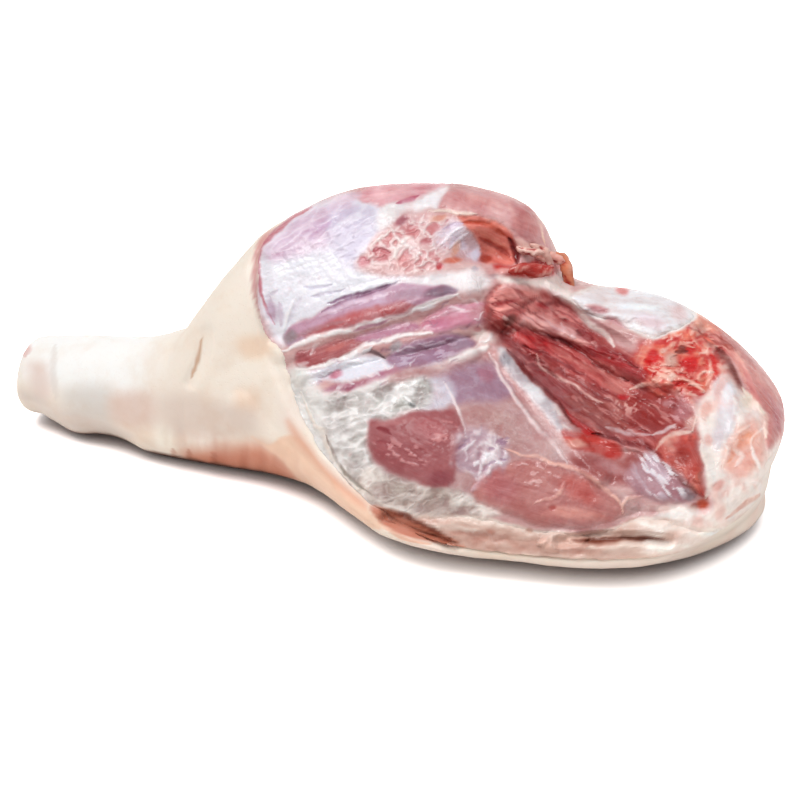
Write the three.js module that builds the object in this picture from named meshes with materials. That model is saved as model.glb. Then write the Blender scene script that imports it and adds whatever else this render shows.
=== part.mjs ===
// A raw leg of pork, trotter off, lying on its skin with the cut face up.
// One solid: a tapering shank, a thigh that swells to a dome, and a face where the muscles show.
// Millimetres. +X runs from the cut hock to the round butt, +Y away from the cut face, +Z up.
// The origin is the middle of the leg's box, on the surface that the leg lies on.
import * as THREE from "three";

// Ends of the leg
const HOCK_END = -288;
const BUTT_END = 288;
const HOCK_RADIUS = 33;
const HOCK_EDGE_ROUNDING = 9;
const BUTT_ROUNDING = 81;
const BUTT_SQUARENESS = 2.7;

// How finely the surface is divided, along the leg and around it
const HOCK_CAP_ROWS = 3;
const HOCK_EDGE_ROWS = 3;
const BODY_ROWS = 62;
const BUTT_ROWS = 13;
const STEPS_AROUND = 72;
const FACE_ANGLE = 65;
const FACE_CROWDING = 0.5;

// Outlines along the leg: knots of [x, size] that a smooth curve runs through.
// The crest is the highest line, the front lies towards the face, the underside on the surface below.
const CREST_HEIGHT = [
  [-288, 64], [-256, 71], [-211, 79], [-184, 84], [-168, 90], [-152, 98], [-136, 112], [-111, 131], [-81, 146],
  [-36, 156], [24, 158], [74, 151], [109, 137], [139, 130], [174, 128], [214, 117], [254, 107], [288, 100],
];
const CREST_Y = [
  [-288, 0], [-211, -6], [-158, -14], [-134, -6], [-112, 4], [-81, 26], [-49, 40], [-10, 49],
  [54, 56], [100, 62], [126, 74], [154, 86], [189, 86], [221, 75], [257, 44], [288, 12],
];
const FRONT_Y = [
  [-288, -29], [-211, -45], [-161, -55], [-112, -64], [-78, -68], [-46, -79], [-18, -95], [9, -111],
  [37, -126], [64, -131], [106, -128], [166, -121], [223, -108], [288, -100],
];
const FRONT_HEIGHT = [
  [-288, 33], [-211, 37], [-161, 42], [-112, 52], [-78, 58], [-46, 56], [-18, 46], [14, 36],
  [44, 30], [106, 28], [166, 28], [223, 34], [288, 54],
];
const BACK_Y = [
  [-288, 30], [-211, 30], [-161, 37], [-112, 70], [-81, 94], [-49, 110], [-10, 120],
  [54, 126], [100, 128], [151, 130], [185, 126], [221, 118], [288, 105],
];
const BACK_HEIGHT = [[-288, 32], [-211, 37], [-161, 43], [-112, 72], [-49, 88], [54, 90], [126, 82], [288, 68]];
const UNDERSIDE_Y = [[-288, 0], [-211, -7], [-161, -14], [-61, -10], [37, -1], [166, 3], [288, 12]];
const UNDERSIDE_HEIGHT = [[-288, 7], [-271, 1], [-246, -4], [-76, -5], [14, -8], [194, -8], [288, -2]];
const FACE_SLACK = [[-288, 1], [-136, 1], [-46, 1.1], [34, 1.2], [134, 1.3], [288, 1.1]];
const CREST_SLACK = 0.97;
const UNDERSIDE_SLACK = 1.15;

// Where the ends close, as a share of the height between the underside and the crest
const CORE_HEIGHT = 0.42;

// The dome of the thigh stands on the crest. It ends in a cliff, which is less steep down the back.
const DOME_RISE = [
  [-288, 0], [-156, 0], [-136, 10], [-111, 26], [-81, 36], [-49, 42], [-6, 46], [34, 48],
  [62, 47], [78, 44], [90, 36], [98, 22], [104, 8], [110, 0], [288, 0],
];
const DOME_RISE_BEHIND = [
  [-288, 0], [-164, 0], [-111, 24], [-49, 41], [34, 44], [66, 36], [86, 22], [98, 12], [112, 4], [130, 0], [288, 0],
];
const DOME_START_ANGLE = [[-288, 20], [-136, 26], [-76, 36], [14, 48], [74, 58], [114, 66], [288, 66]];
const DOME_SPREAD = 42;
const DOME_FULLNESS = 1.1;
const DOME_TURNS_BEHIND = [112, 150];
const DOME_END_ANGLES = [140, 205];

// Depth over which the underside settles flat on the surface below
const SETTLING = 2.7;

// The muscles are laid out on a sheet that faces the eye: right and up, from the sheet's centre.
const SHEET_CENTRE = new THREE.Vector3(14, -10.5, 67.5);
const EYE_AZIMUTH = 18;
const EYE_ELEVATION = 28;
const EYE_DISTANCE = 1600;
const RELIEF_FADE = [0.02, 0.35];

// Swellings and hollows: centre and half-axes on the sheet, clockwise turn in degrees, rise at the centre
const SWELLINGS = {
  insideRound: { at: [56, -36], reach: [124, 60], turn: 14, rise: 15, softness: 1 },
  outerDome: { at: [76, 126], reach: [44, 27], turn: 18, rise: 6, softness: 1 },
  domeCavity: { at: [63, 108], reach: [30, 17], turn: 10, rise: -14, softness: 1.5 },
  redValley: { at: [135, 22], reach: [95, 35], turn: 36, rise: -25, softness: 1.2 },
  spongyBone: { at: [204, 27], reach: [30, 25], turn: 20, rise: 8, softness: 1 },
  rump: { at: [253, -1], reach: [26, 60], turn: -22, rise: 10, softness: 1 },
  redTip: { at: [206, -45], reach: [20, 32], turn: -15, rise: 7, softness: 1.2 },
  silverTip: { at: [173, -59], reach: [38, 21], turn: 10, rise: 7, softness: 1 },
  cartilage: { at: [238, -11], reach: [15, 34], turn: 8, rise: 5, softness: 1.2 },
};

// Bands that stand up and creases that run in: the line on the sheet, half-width, rise
const RIDGES = {
  upperBand: { line: [[-84, 36], [-36, 54], [14, 71], [50, 81]], half: 13, rise: 6 },
  middleBand: { line: [[-72, 19], [-36, 34], [14, 45], [61, 59]], half: 11, rise: 6 },
  lowerBand: { line: [[-61, 6], [-7, 19], [50, 35]], half: 11, rise: 5 },
  silverStrip: { line: [[66, 40], [94, 7], [122, -29], [144, -54]], half: 10, rise: 5 },
  stripCrease: { line: [[72, 50], [115, 4], [144, -32], [184, -50], [216, -76]], half: 11, rise: -6 },
  upperRope: { line: [[76, 59], [115, 50], [158, 27], [187, 11]], half: 11, rise: 7 },
  lowerRope: { line: [[83, 40], [122, 22], [158, -4], [187, -29]], half: 12, rise: 7 },
  backRim: { line: [[112, 82], [137, 72], [173, 63], [209, 50]], half: 11, rise: 6 },
  rimCrease: { line: [[115, 68], [144, 47], [180, 36]], half: 11, rise: -5 },
  rumpCrease: { line: [[220, 50], [238, 29], [251, -1]], half: 11, rise: -6 },
  leftSlit: { line: [[-10, -85], [14, -96], [40, -105]], half: 9, rise: -5 },
  rightSlit: { line: [[115, -102], [153, -99], [193, -102]], half: 9, rise: -5 },
  skinEdge: { line: [[-102, 99], [-92, 47], [-73, -4], [-32, -65], [-9, -86]], half: 11, rise: -4 },
  skinFlap: { line: [[-115, -4], [-92, -35], [-65, -60], [-30, -84]], half: 12, rise: 4 },
  shankCrease: { line: [[-140, 48], [-143, 32], [-150, 13]], half: 8, rise: -3 },
};
const RIDGE_SOFTNESS = 1.4;
const POINTS_PER_SPAN = 5;

const { clamp, degToRad, smoothstep, euclideanModulo } = THREE.MathUtils;

// Size at x on a monotone cubic through the knots, which never overshoots them.
function sizeAt(knots, x) {
  const width = (i) => knots[i + 1][0] - knots[i][0];
  const grade = (i) => (knots[i + 1][1] - knots[i][1]) / width(i);
  const last = knots.length - 1;
  const slope = (i) => {
    if (i === 0) return grade(0);
    if (i === last) return grade(last - 1);
    if (grade(i - 1) * grade(i) <= 0) return 0;
    const near = 2 * width(i) + width(i - 1);
    const far = width(i) + 2 * width(i - 1);
    return (near + far) / (near / grade(i - 1) + far / grade(i));
  };
  let span = 0;
  while (span < last - 1 && x >= knots[span + 1][0]) span += 1;
  const h = width(span);
  const t = clamp((x - knots[span][0]) / h, 0, 1);
  const start = (1 + 2 * t) * (1 - t) ** 2 * knots[span][1] + t * (1 - t) ** 2 * h * slope(span);
  const end = t * t * (3 - 2 * t) * knots[span + 1][1] + t * t * (t - 1) * h * slope(span + 1);
  return start + end;
}

// Rows along the leg: where each lies, and the share of the full section that it has.
// The share grows from nothing across the cut hock and shrinks to nothing round the butt.
function rowsAlong() {
  const rows = [];
  const edge = HOCK_EDGE_ROUNDING / HOCK_RADIUS;
  for (let i = 0; i < HOCK_CAP_ROWS; i += 1) {
    rows.push({ x: HOCK_END, share: (i / HOCK_CAP_ROWS) * (1 - edge) });
  }
  for (let i = 0; i < HOCK_EDGE_ROWS; i += 1) {
    const turn = ((i / HOCK_EDGE_ROWS) * Math.PI) / 2;
    rows.push({
      x: HOCK_END + HOCK_EDGE_ROUNDING * (1 - Math.cos(turn)),
      share: 1 - edge * (1 - Math.sin(turn)),
    });
  }
  const bodyStart = HOCK_END + HOCK_EDGE_ROUNDING;
  const bodyEnd = BUTT_END - BUTT_ROUNDING;
  for (let i = 0; i < BODY_ROWS; i += 1) {
    rows.push({ x: bodyStart + ((bodyEnd - bodyStart) * i) / BODY_ROWS, share: 1 });
  }
  for (let i = 0; i < BUTT_ROWS; i += 1) {
    const turn = ((i / BUTT_ROWS) * Math.PI) / 2;
    rows.push({ x: bodyEnd + BUTT_ROUNDING * Math.sin(turn), share: Math.cos(turn) ** (2 / BUTT_SQUARENESS) });
  }
  rows.push({ x: BUTT_END, share: 0 });
  return rows;
}

// Angle of a step around the section: 0 at the front, 90 at the crest, with the steps crowded on the face.
// The first step lies opposite the face, so that the seam is hidden underneath.
function angleOfStep(step) {
  const even = FACE_ANGLE - 180 + (360 * step) / STEPS_AROUND;
  const crowding = FACE_CROWDING * Math.sin(degToRad(even - FACE_ANGLE));
  return euclideanModulo(even - THREE.MathUtils.radToDeg(crowding), 360);
}

// A point of the plain leg: four quarter superellipses join front, crest, back and underside.
function plainPoint({ x, share }, angle) {
  const front = angle < 90 || angle >= 270;
  const upper = angle < 180;
  let slack = front ? UNDERSIDE_SLACK : 1;
  if (upper) slack = front ? sizeAt(FACE_SLACK, x) : CREST_SLACK;
  const across = Math.abs(Math.cos(degToRad(angle))) ** slack;
  const upwards = Math.abs(Math.sin(degToRad(angle))) ** slack;
  const middleY = sizeAt(upper ? CREST_Y : UNDERSIDE_Y, x);
  const sideY = sizeAt(front ? FRONT_Y : BACK_Y, x);
  const sideZ = sizeAt(front ? FRONT_HEIGHT : BACK_HEIGHT, x);
  const middleZ = sizeAt(upper ? CREST_HEIGHT : UNDERSIDE_HEIGHT, x);
  const y = middleY + (sideY - middleY) * across;
  const z = sideZ + (middleZ - sideZ) * upwards + domeRise(x, angle);
  const coreY = (sizeAt(FRONT_Y, x) + sizeAt(BACK_Y, x) + sizeAt(CREST_Y, x) + sizeAt(UNDERSIDE_Y, x)) / 4;
  const coreZ = THREE.MathUtils.lerp(sizeAt(UNDERSIDE_HEIGHT, x), sizeAt(CREST_HEIGHT, x), CORE_HEIGHT);
  return new THREE.Vector3(x, coreY + (y - coreY) * share, coreZ + (z - coreZ) * share);
}

// Height of the thigh's dome above the crest line, at an angle around the section.
function domeRise(x, angle) {
  const start = sizeAt(DOME_START_ANGLE, x);
  const behind = smoothstep(angle, ...DOME_TURNS_BEHIND);
  const rise = THREE.MathUtils.lerp(sizeAt(DOME_RISE, x), sizeAt(DOME_RISE_BEHIND, x), behind);
  const climb = clamp((angle - start) / DOME_SPREAD, 0, 1);
  const swell = Math.sin((climb * Math.PI) / 2) ** DOME_FULLNESS;
  return rise * swell * (1 - smoothstep(angle, ...DOME_END_ANGLES));
}

// The eye, and the directions right and up on the sheet that faces it.
function sheetFacingEye() {
  const azimuth = degToRad(EYE_AZIMUTH);
  const elevation = degToRad(EYE_ELEVATION);
  const towardsEye = new THREE.Vector3(
    Math.sin(azimuth) * Math.cos(elevation),
    -Math.cos(azimuth) * Math.cos(elevation),
    Math.sin(elevation),
  );
  const right = new THREE.Vector3(Math.cos(azimuth), Math.sin(azimuth), 0);
  const up = towardsEye.clone().cross(right);
  const eye = SHEET_CENTRE.clone().addScaledVector(towardsEye, EYE_DISTANCE);
  return { eye, towardsEye, right, up };
}

// Where the line from the eye to a point of the leg meets the sheet.
function placeOnSheet(point, { eye, towardsEye, right, up }) {
  const ray = point.clone().sub(eye);
  const scale = -EYE_DISTANCE / ray.dot(towardsEye);
  return new THREE.Vector2(ray.dot(right) * scale, ray.dot(up) * scale);
}

// Rise of one swelling: full at its centre, nothing past its ellipse.
function swellingRise({ at, reach, turn, rise, softness }, place) {
  const offset = place.clone().sub(new THREE.Vector2(...at)).rotateAround(new THREE.Vector2(), degToRad(turn));
  const far = (offset.x / reach[0]) ** 2 + (offset.y / reach[1]) ** 2;
  return rise * clamp(1 - far, 0, 1) ** softness;
}

// Rise of one ridge: full on its line, nothing past its half-width.
function ridgeRise({ path, half, rise }, place) {
  const spot = new THREE.Vector3(place.x, place.y, 0);
  const nearest = new THREE.Vector3();
  let distance = half;
  for (const span of path) {
    span.closestPointToPoint(spot, true, nearest);
    distance = Math.min(distance, nearest.distanceTo(spot));
  }
  return rise * (1 - (distance / half) ** 2) ** RIDGE_SOFTNESS;
}

// A ridge with its line drawn out as short spans of a spline.
function withPath(ridge) {
  const spline = new THREE.SplineCurve(ridge.line.map(([right, up]) => new THREE.Vector2(right, up)));
  const drawn = spline.getPoints(POINTS_PER_SPAN * (ridge.line.length - 1));
  const points = drawn.map((point) => new THREE.Vector3(point.x, point.y, 0));
  const path = points.slice(1).map((point, i) => new THREE.Line3(points[i], point));
  return { ...ridge, path };
}

// Height above the surface below, with what would sink into it laid flat on it.
function settled(z) {
  if (z > SETTLING) return z;
  if (z < -SETTLING) return 0;
  return (z + SETTLING) ** 2 / (4 * SETTLING);
}

// The leg's surface: a sphere's grid drawn out to the plain leg, then raised and cut in towards the eye.
function legGeometry() {
  const rows = rowsAlong();
  const geometry = new THREE.SphereGeometry(1, STEPS_AROUND, rows.length - 1);
  const { position } = geometry.attributes;
  rows.forEach((row, r) => {
    for (let step = 0; step <= STEPS_AROUND; step += 1) {
      const { x, y, z } = plainPoint(row, angleOfStep(step % STEPS_AROUND));
      position.setXYZ(r * (STEPS_AROUND + 1) + step, x, y, z);
    }
  });
  geometry.computeVertexNormals();
  raiseRelief(geometry);
  geometry.computeVertexNormals();
  return geometry;
}

// Moves each point of the face towards or away from the eye, and settles the underside.
// The first and last rows stay: each is one point, where the surface closes.
function raiseRelief(geometry) {
  const { position, normal } = geometry.attributes;
  const pointsInRow = STEPS_AROUND + 1;
  const sheet = sheetFacingEye();
  const swellings = Object.values(SWELLINGS);
  const ridges = Object.values(RIDGES).map(withPath);
  const point = new THREE.Vector3();
  const facing = new THREE.Vector3();
  for (let i = pointsInRow; i < position.count - pointsInRow; i += 1) {
    point.fromBufferAttribute(position, i);
    facing.fromBufferAttribute(normal, i);
    const towardsEye = sheet.eye.clone().sub(point).normalize();
    const turnedToEye = smoothstep(facing.dot(towardsEye), ...RELIEF_FADE);
    if (turnedToEye > 0) {
      const place = placeOnSheet(point, sheet);
      let rise = 0;
      for (const swelling of swellings) rise += swellingRise(swelling, place);
      for (const ridge of ridges) rise += ridgeRise(ridge, place);
      point.addScaledVector(towardsEye, rise * turnedToEye);
    }
    position.setXYZ(i, point.x, point.y, settled(point.z));
  }
}

const meat = new THREE.MeshStandardMaterial({ color: 0xd9a79f, roughness: 0.45, metalness: 0 });
const leg = new THREE.Mesh(legGeometry(), meat);
leg.name = "pork_leg";

const porkLeg = new THREE.Group();
porkLeg.add(leg);

export default porkLeg;
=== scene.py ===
# %% [markdown]
# A raw pork leg with its trotter off, lying on its skin. The cut face looks at the camera: a domed thigh
# under a silvery sheet, three muscle bands, the inside round, a red valley, a cut bone, the rump and a rim
# of fat. Closed surfaces lie in one another as the real layers do. The skin wraps the whole leg and dives
# under the meat at its cut edge, the meat fills the face, and the fat stands out of the meat wherever its
# cover is thick. Where two surfaces cross, the crossing itself draws a crisp edge, so no boundary has to be
# cut by hand.

# %% Load the frame
import math
import bpy
import numpy as np
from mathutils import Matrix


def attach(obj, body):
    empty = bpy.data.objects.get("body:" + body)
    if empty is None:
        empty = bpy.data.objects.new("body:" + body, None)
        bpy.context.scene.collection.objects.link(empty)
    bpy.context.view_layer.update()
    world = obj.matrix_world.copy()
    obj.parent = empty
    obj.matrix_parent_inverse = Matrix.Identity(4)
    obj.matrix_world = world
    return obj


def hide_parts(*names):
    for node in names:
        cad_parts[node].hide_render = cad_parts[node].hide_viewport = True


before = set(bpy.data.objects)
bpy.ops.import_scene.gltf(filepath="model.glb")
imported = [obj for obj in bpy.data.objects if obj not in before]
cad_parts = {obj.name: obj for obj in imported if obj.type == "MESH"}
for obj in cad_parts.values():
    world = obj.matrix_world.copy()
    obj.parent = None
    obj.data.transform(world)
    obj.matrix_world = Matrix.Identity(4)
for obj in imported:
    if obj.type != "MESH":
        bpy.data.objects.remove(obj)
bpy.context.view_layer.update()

# %% [markdown]
# Nearly everything on the cut face is drawn from where the viewer stands, as a butcher's chart is. The
# chart, called the plan here, is an upright sheet through the aim point, ruled in squares of 0.72 mm with
# square (400, 400) in its middle. A point of the leg is found on it by a straight line from the eye, so the
# plan could also be a texture projection, but as plain numbers it can steer the shape as well as the
# colour.

# %% The eye and the plan
MM = 0.001
AZIMUTH = math.radians(18)
ELEVATION = math.radians(28)
AIM = np.array((14.0, -10.5, 67.5))
EYE_DISTANCE = 1600.0
PLAN_SQUARE = 0.72
PLAN_CENTRE = 400.0
TO_EYE = np.array((
    math.sin(AZIMUTH) * math.cos(ELEVATION),
    -math.cos(AZIMUTH) * math.cos(ELEVATION),
    math.sin(ELEVATION),
))
RIGHT = np.array((math.cos(AZIMUTH), math.sin(AZIMUTH), 0.0))
UP = np.cross(TO_EYE, RIGHT)
EYE = AIM + TO_EYE * EYE_DISTANCE


def on_plan(points):
    """Squares across and down the plan: the ray from the eye to a point, drawn out to the plan's sheet."""
    ray = points - EYE
    reach = -EYE_DISTANCE / (ray @ TO_EYE)
    across = PLAN_CENTRE + (ray @ RIGHT) * reach / PLAN_SQUARE
    down = PLAN_CENTRE - (ray @ UP) * reach / PLAN_SQUARE
    return across, down


camera_data = bpy.data.cameras.new("camera")
camera_data.lens = 100
camera_data.sensor_width = 36
camera_data.clip_end = 100
camera = bpy.data.objects.new("camera", camera_data)
camera.location = EYE * MM
camera.rotation_euler = (math.pi / 2 - ELEVATION, 0, AZIMUTH)
bpy.context.scene.collection.objects.link(camera)
bpy.context.scene.camera = camera
print("eye at", np.round(EYE * MM, 3))

# %% [markdown]
# Meat is never even, so the drawing needs noise. Blender has noise textures, but those live in shaders and
# can't move vertices of an exported mesh, so the same idea is written here for whole arrays: numbers
# scattered on a lattice by a hash and blended smoothly between, summed over octaves.


# %% Noise for whole arrays
def smooth(low, high, value):
    """0 below low, 1 above high, and an S-shaped cubic between."""
    t = np.clip((value - low) / (high - low), 0, 1)
    return t * t * (3 - 2 * t)


def scatter(i, j, k, seed):
    """One even number from 0 to 1 for each lattice place: an integer hash of its three indices."""
    n = i.astype(np.uint32) * np.uint32(374761393) + j.astype(np.uint32) * np.uint32(668265263)
    n = n + k.astype(np.uint32) * np.uint32(2147483647) + np.uint32(seed * 1013904223 % 2**32)
    n = (n ^ (n >> np.uint32(13))) * np.uint32(1274126177)
    n = (n ^ (n >> np.uint32(15))) * np.uint32(2246822519)
    return (n ^ (n >> np.uint32(16))).astype(float) / 2**32


def noise(x, y, z, seed):
    """Value noise from -1 to 1: lattice numbers blended by the smooth cubic along x, y and z."""
    place = np.stack(np.broadcast_arrays(x, y, z)).astype(float)
    corner = np.floor(place)
    part = place - corner
    part = part * part * (3 - 2 * part)
    corner = corner.astype(np.int64)
    total = 0
    for a in (0, 1):
        for b in (0, 1):
            for c in (0, 1):
                weight = (part[0] if a else 1 - part[0]) * (part[1] if b else 1 - part[1])
                weight = weight * (part[2] if c else 1 - part[2])
                total = total + weight * scatter(corner[0] + a, corner[1] + b, corner[2] + c, seed)
    return total * 2 - 1


def cloud(x, y, seed, octaves=3, z=0.0):
    """Octaves of value noise, each twice as fine and half as strong as the last."""
    z = np.asarray(z, float)
    total = sum(0.5**o * noise(x * 2**o, y * 2**o, z * 2**o, seed + 17 * o) for o in range(octaves))
    return total / (2 - 0.5 ** (octaves - 1))


def leg_cloud(points, size, seed, octaves=3):
    """A cloud at points of the leg, with lumps of one size in mm or of a size for each of x, y and z."""
    x, y, z = np.moveaxis(points / np.array(size, float), -1, 0)
    return cloud(x, y, seed, octaves, z)


# %% [markdown]
# Outlines and lines on the plan are given by a few squares and rounded by a spline, as one would place the
# control points of a curve. A signed distance to an outline then serves twice: as a soft mask for colour
# and as the height of a muscle that swells away from its edges.


# %% Outlines and lines on the plan
SPANS = 5
RAGGED, RAGGED_SIZE = 0.3, 14
TAPER, THINNEST = 4.4, 0.08
FAR_AWAY = 9.0


def rounded(points, closed):
    """Catmull-Rom spline: each span is the cubic that runs through its two ends along their neighbours'
    chord."""
    p = np.array(points, float)
    ends = (p[-1:], p[:2]) if closed else (2 * p[:1] - p[1:2], 2 * p[-1:] - p[-2:-1])
    p = np.vstack([ends[0], p, ends[1]])
    t = (np.arange(SPANS) / SPANS)[None, :, None]
    a, b, c, d = (p[k : len(p) - 3 + k, None, :] for k in range(4))
    curve = 2 * b + (c - a) * t + (2 * a - 5 * b + 4 * c - d) * t**2 + (3 * b - a - 3 * c + d) * t**3
    curve = 0.5 * curve.reshape(-1, 2)
    return np.vstack([curve, curve[:1] if closed else p[-2:-1]])


def distance_to(x, y, line):
    """Distance to a line of short straight spans, and the share of the line's length at the nearest
    point."""
    best = np.full(x.shape, 1e9)
    share = np.zeros(x.shape)
    count = len(line) - 1
    for k in range(count):
        start, span = line[k], line[k + 1] - line[k]
        t = ((x - start[0]) * span[0] + (y - start[1]) * span[1]) / max(span @ span, 1e-9)
        t = np.clip(t, 0, 1)
        far = (x - start[0] - t * span[0]) ** 2 + (y - start[1] - t * span[1]) ** 2
        share = np.where(far < best, (k + t) / count, share)
        best = np.minimum(best, far)
    return np.sqrt(best), share


def inside_of(x, y, loop):
    """True inside a closed loop: a ray to the right crosses it an odd number of times."""
    inside = np.zeros(x.shape, bool)
    for (x0, y0), (x1, y1) in zip(loop[:-1], loop[1:]):
        if y0 != y1:
            inside ^= ((y0 > y) != (y1 > y)) & (x < (x1 - x0) * (y - y0) / (y1 - y0) + x0)
    return inside


def near_to(x, y, line, margin):
    """True for the points within a margin of a line's bounding box."""
    low, high = line.min(0) - margin, line.max(0) + margin
    return (x > low[0]) & (x < high[0]) & (y > low[1]) & (y < high[1])


def depth_in(x, y, outline, margin):
    """Signed distance to a rounded outline, positive inside. Points far outside get minus the margin."""
    loop = rounded(outline, True)
    near = near_to(x, y, loop, margin)
    depth = np.full(x.shape, -float(margin))
    if near.any():
        far, _ = distance_to(x[near], y[near], loop)
        depth[near] = np.where(inside_of(x[near], y[near], loop), far, -far)
    return depth


def along_line(x, y, points, half):
    """Distance to a rounded line over its half width, which tapers to both ends. Far points get a large
    number."""
    line = rounded(points, False)
    near = near_to(x, y, line, 2 * half)
    ratio = np.full(x.shape, FAR_AWAY)
    if near.any():
        far, share = distance_to(x[near], y[near], line)
        width = half * np.sqrt(np.clip(TAPER * share * (1 - share), THINNEST, 1))
        width = width * (1 + RAGGED * cloud(x[near] / RAGGED_SIZE, y[near] / RAGGED_SIZE, 19, 2))
        ratio[near] = far / width
    return ratio


# %% [markdown]
# The plain leg is the same form as the solid: along its length run the crest, the front, the back and the
# underside, and in each section four quarter superellipses join them. It could be sculpted or lofted from
# curves, but a formula gives any number of points, so the skin and the face can each have the grid that
# suits them.

# %% Sizes along the leg
HOCK_END, BUTT_END = -288.0, 288.0
HOCK_RADIUS, HOCK_EDGE_ROUNDING = 33.0, 9.0
BUTT_ROUNDING, BUTT_SQUARENESS = 81.0, 2.7
CREST_HEIGHT = [(-288, 64), (-256, 71), (-211, 79), (-184, 84), (-168, 90), (-152, 98), (-136, 112),
                (-111, 131), (-81, 146), (-36, 156), (24, 158), (74, 151), (109, 137), (139, 130),
                (174, 128), (214, 117), (254, 107), (288, 100)]
CREST_Y = [(-288, 0), (-211, -6), (-158, -14), (-134, -6), (-112, 4), (-81, 26), (-49, 40), (-10, 49),
           (54, 56), (100, 62), (126, 74), (154, 86), (189, 86), (221, 75), (257, 44), (288, 12)]
FRONT_Y = [(-288, -29), (-211, -45), (-161, -55), (-112, -64), (-78, -68), (-46, -79), (-18, -95),
           (9, -111), (37, -126), (64, -131), (106, -128), (166, -121), (223, -108), (288, -100)]
FRONT_HEIGHT = [(-288, 33), (-211, 37), (-161, 42), (-112, 52), (-78, 58), (-46, 56), (-18, 46), (14, 36),
                (44, 30), (106, 28), (166, 28), (223, 34), (288, 54)]
BACK_Y = [(-288, 30), (-211, 30), (-161, 37), (-112, 70), (-81, 94), (-49, 110), (-10, 120), (54, 126),
          (100, 128), (151, 130), (185, 126), (221, 118), (288, 105)]
BACK_HEIGHT = [(-288, 32), (-211, 37), (-161, 43), (-112, 72), (-49, 88), (54, 90), (126, 82), (288, 68)]
UNDERSIDE_Y = [(-288, 0), (-211, -7), (-161, -14), (-61, -10), (37, -1), (166, 3), (288, 12)]
UNDERSIDE_HEIGHT = [(-288, 7), (-271, 5), (-257, 2), (-240, -4), (-221, 1), (-198, 0), (-172, -5),
                    (-76, -5), (14, -8), (194, -8), (288, -2)]
FACE_SLACK = [(-288, 1), (-136, 1), (-46, 1.1), (34, 1.2), (134, 1.3), (288, 1.1)]
CREST_SLACK, UNDERSIDE_SLACK = 0.97, 1.15
CORE_HEIGHT = 0.42
print("leg", BUTT_END - HOCK_END, "mm long")


# %% Sizes and the dome at any place
def size_at(knots, x):
    """Cubic through (place, size) pairs that never overshoots: slopes are the harmonic mean of the
    neighbours'."""
    place, size = np.array(knots, float).T
    gap = np.diff(place)
    rise = np.diff(size) / gap
    slope = np.concatenate([rise[:1], np.zeros(len(place) - 2), rise[-1:]])
    same = rise[:-1] * rise[1:] > 0
    near, far = (2 * gap[1:] + gap[:-1])[same], (gap[1:] + 2 * gap[:-1])[same]
    slope[1:-1][same] = (near + far) / (near / rise[:-1][same] + far / rise[1:][same])
    x = np.clip(x, place[0], place[-1])
    i = np.clip(np.searchsorted(place, x, side="right") - 1, 0, len(place) - 2)
    t = (x - place[i]) / gap[i]
    start = (1 + 2 * t) * (1 - t) ** 2 * size[i] + t * (1 - t) ** 2 * gap[i] * slope[i]
    return start + t * t * (3 - 2 * t) * size[i + 1] + t * t * (t - 1) * gap[i] * slope[i + 1]


DOME_RISE = [(-288, 0), (-156, 0), (-136, 10), (-111, 26), (-81, 36), (-49, 42), (-6, 46), (34, 48),
             (62, 47), (78, 44), (90, 36), (98, 22), (104, 8), (110, 0), (288, 0)]
DOME_RISE_BEHIND = [(-288, 0), (-164, 0), (-111, 24), (-49, 41), (34, 44), (66, 36), (86, 22), (98, 12),
                    (112, 4), (130, 0), (288, 0)]
DOME_START_ANGLE = [(-288, 20), (-136, 26), (-76, 36), (14, 48), (74, 58), (114, 66), (288, 66)]
DOME_SPREAD, DOME_FULLNESS = 42.0, 1.1
DOME_TURNS_BEHIND = (112, 150)
DOME_END_ANGLES = (140, 205)


def dome_rise(x, angle):
    """Height of the thigh's dome: a quarter sine from its start angle, fading out down the back."""
    behind = smooth(*DOME_TURNS_BEHIND, angle)
    rise = size_at(DOME_RISE, x) * (1 - behind) + size_at(DOME_RISE_BEHIND, x) * behind
    climb = np.clip((angle - size_at(DOME_START_ANGLE, x)) / DOME_SPREAD, 0, 1)
    return rise * np.sin(climb * math.pi / 2) ** DOME_FULLNESS * (1 - smooth(*DOME_END_ANGLES, angle))


# %% The plain leg as a function of a row and an angle
def plain_leg(x, share, angle):
    """Points in mm for rows of x and share and angles in degrees: side to middle by |cos|^slack and
    |sin|^slack, plus the dome, all drawn in to the section's core by the row's share."""
    x, share = x[:, None], share[:, None]
    angle = angle % 360
    front, upper = (angle < 90) | (angle >= 270), angle < 180
    upper_slack = np.where(front, size_at(FACE_SLACK, x), CREST_SLACK)
    slack = np.where(upper, upper_slack, np.where(front, UNDERSIDE_SLACK, 1.0))
    across = np.abs(np.cos(np.radians(angle))) ** slack
    upwards = np.abs(np.sin(np.radians(angle))) ** slack
    middle_y = np.where(upper, size_at(CREST_Y, x), size_at(UNDERSIDE_Y, x))
    side_y = np.where(front, size_at(FRONT_Y, x), size_at(BACK_Y, x))
    side_z = np.where(front, size_at(FRONT_HEIGHT, x), size_at(BACK_HEIGHT, x))
    middle_z = np.where(upper, size_at(CREST_HEIGHT, x), size_at(UNDERSIDE_HEIGHT, x))
    y = middle_y + (side_y - middle_y) * across
    z = side_z + (middle_z - side_z) * upwards + dome_rise(x, angle)
    core_y = (size_at(FRONT_Y, x) + size_at(BACK_Y, x) + size_at(CREST_Y, x) + size_at(UNDERSIDE_Y, x)) / 4
    core_z = size_at(UNDERSIDE_HEIGHT, x) * (1 - CORE_HEIGHT) + size_at(CREST_HEIGHT, x) * CORE_HEIGHT
    z = core_z + (z - core_z) * share
    return np.stack([np.broadcast_to(x, z.shape), core_y + (y - core_y) * share, z], axis=-1)


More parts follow.
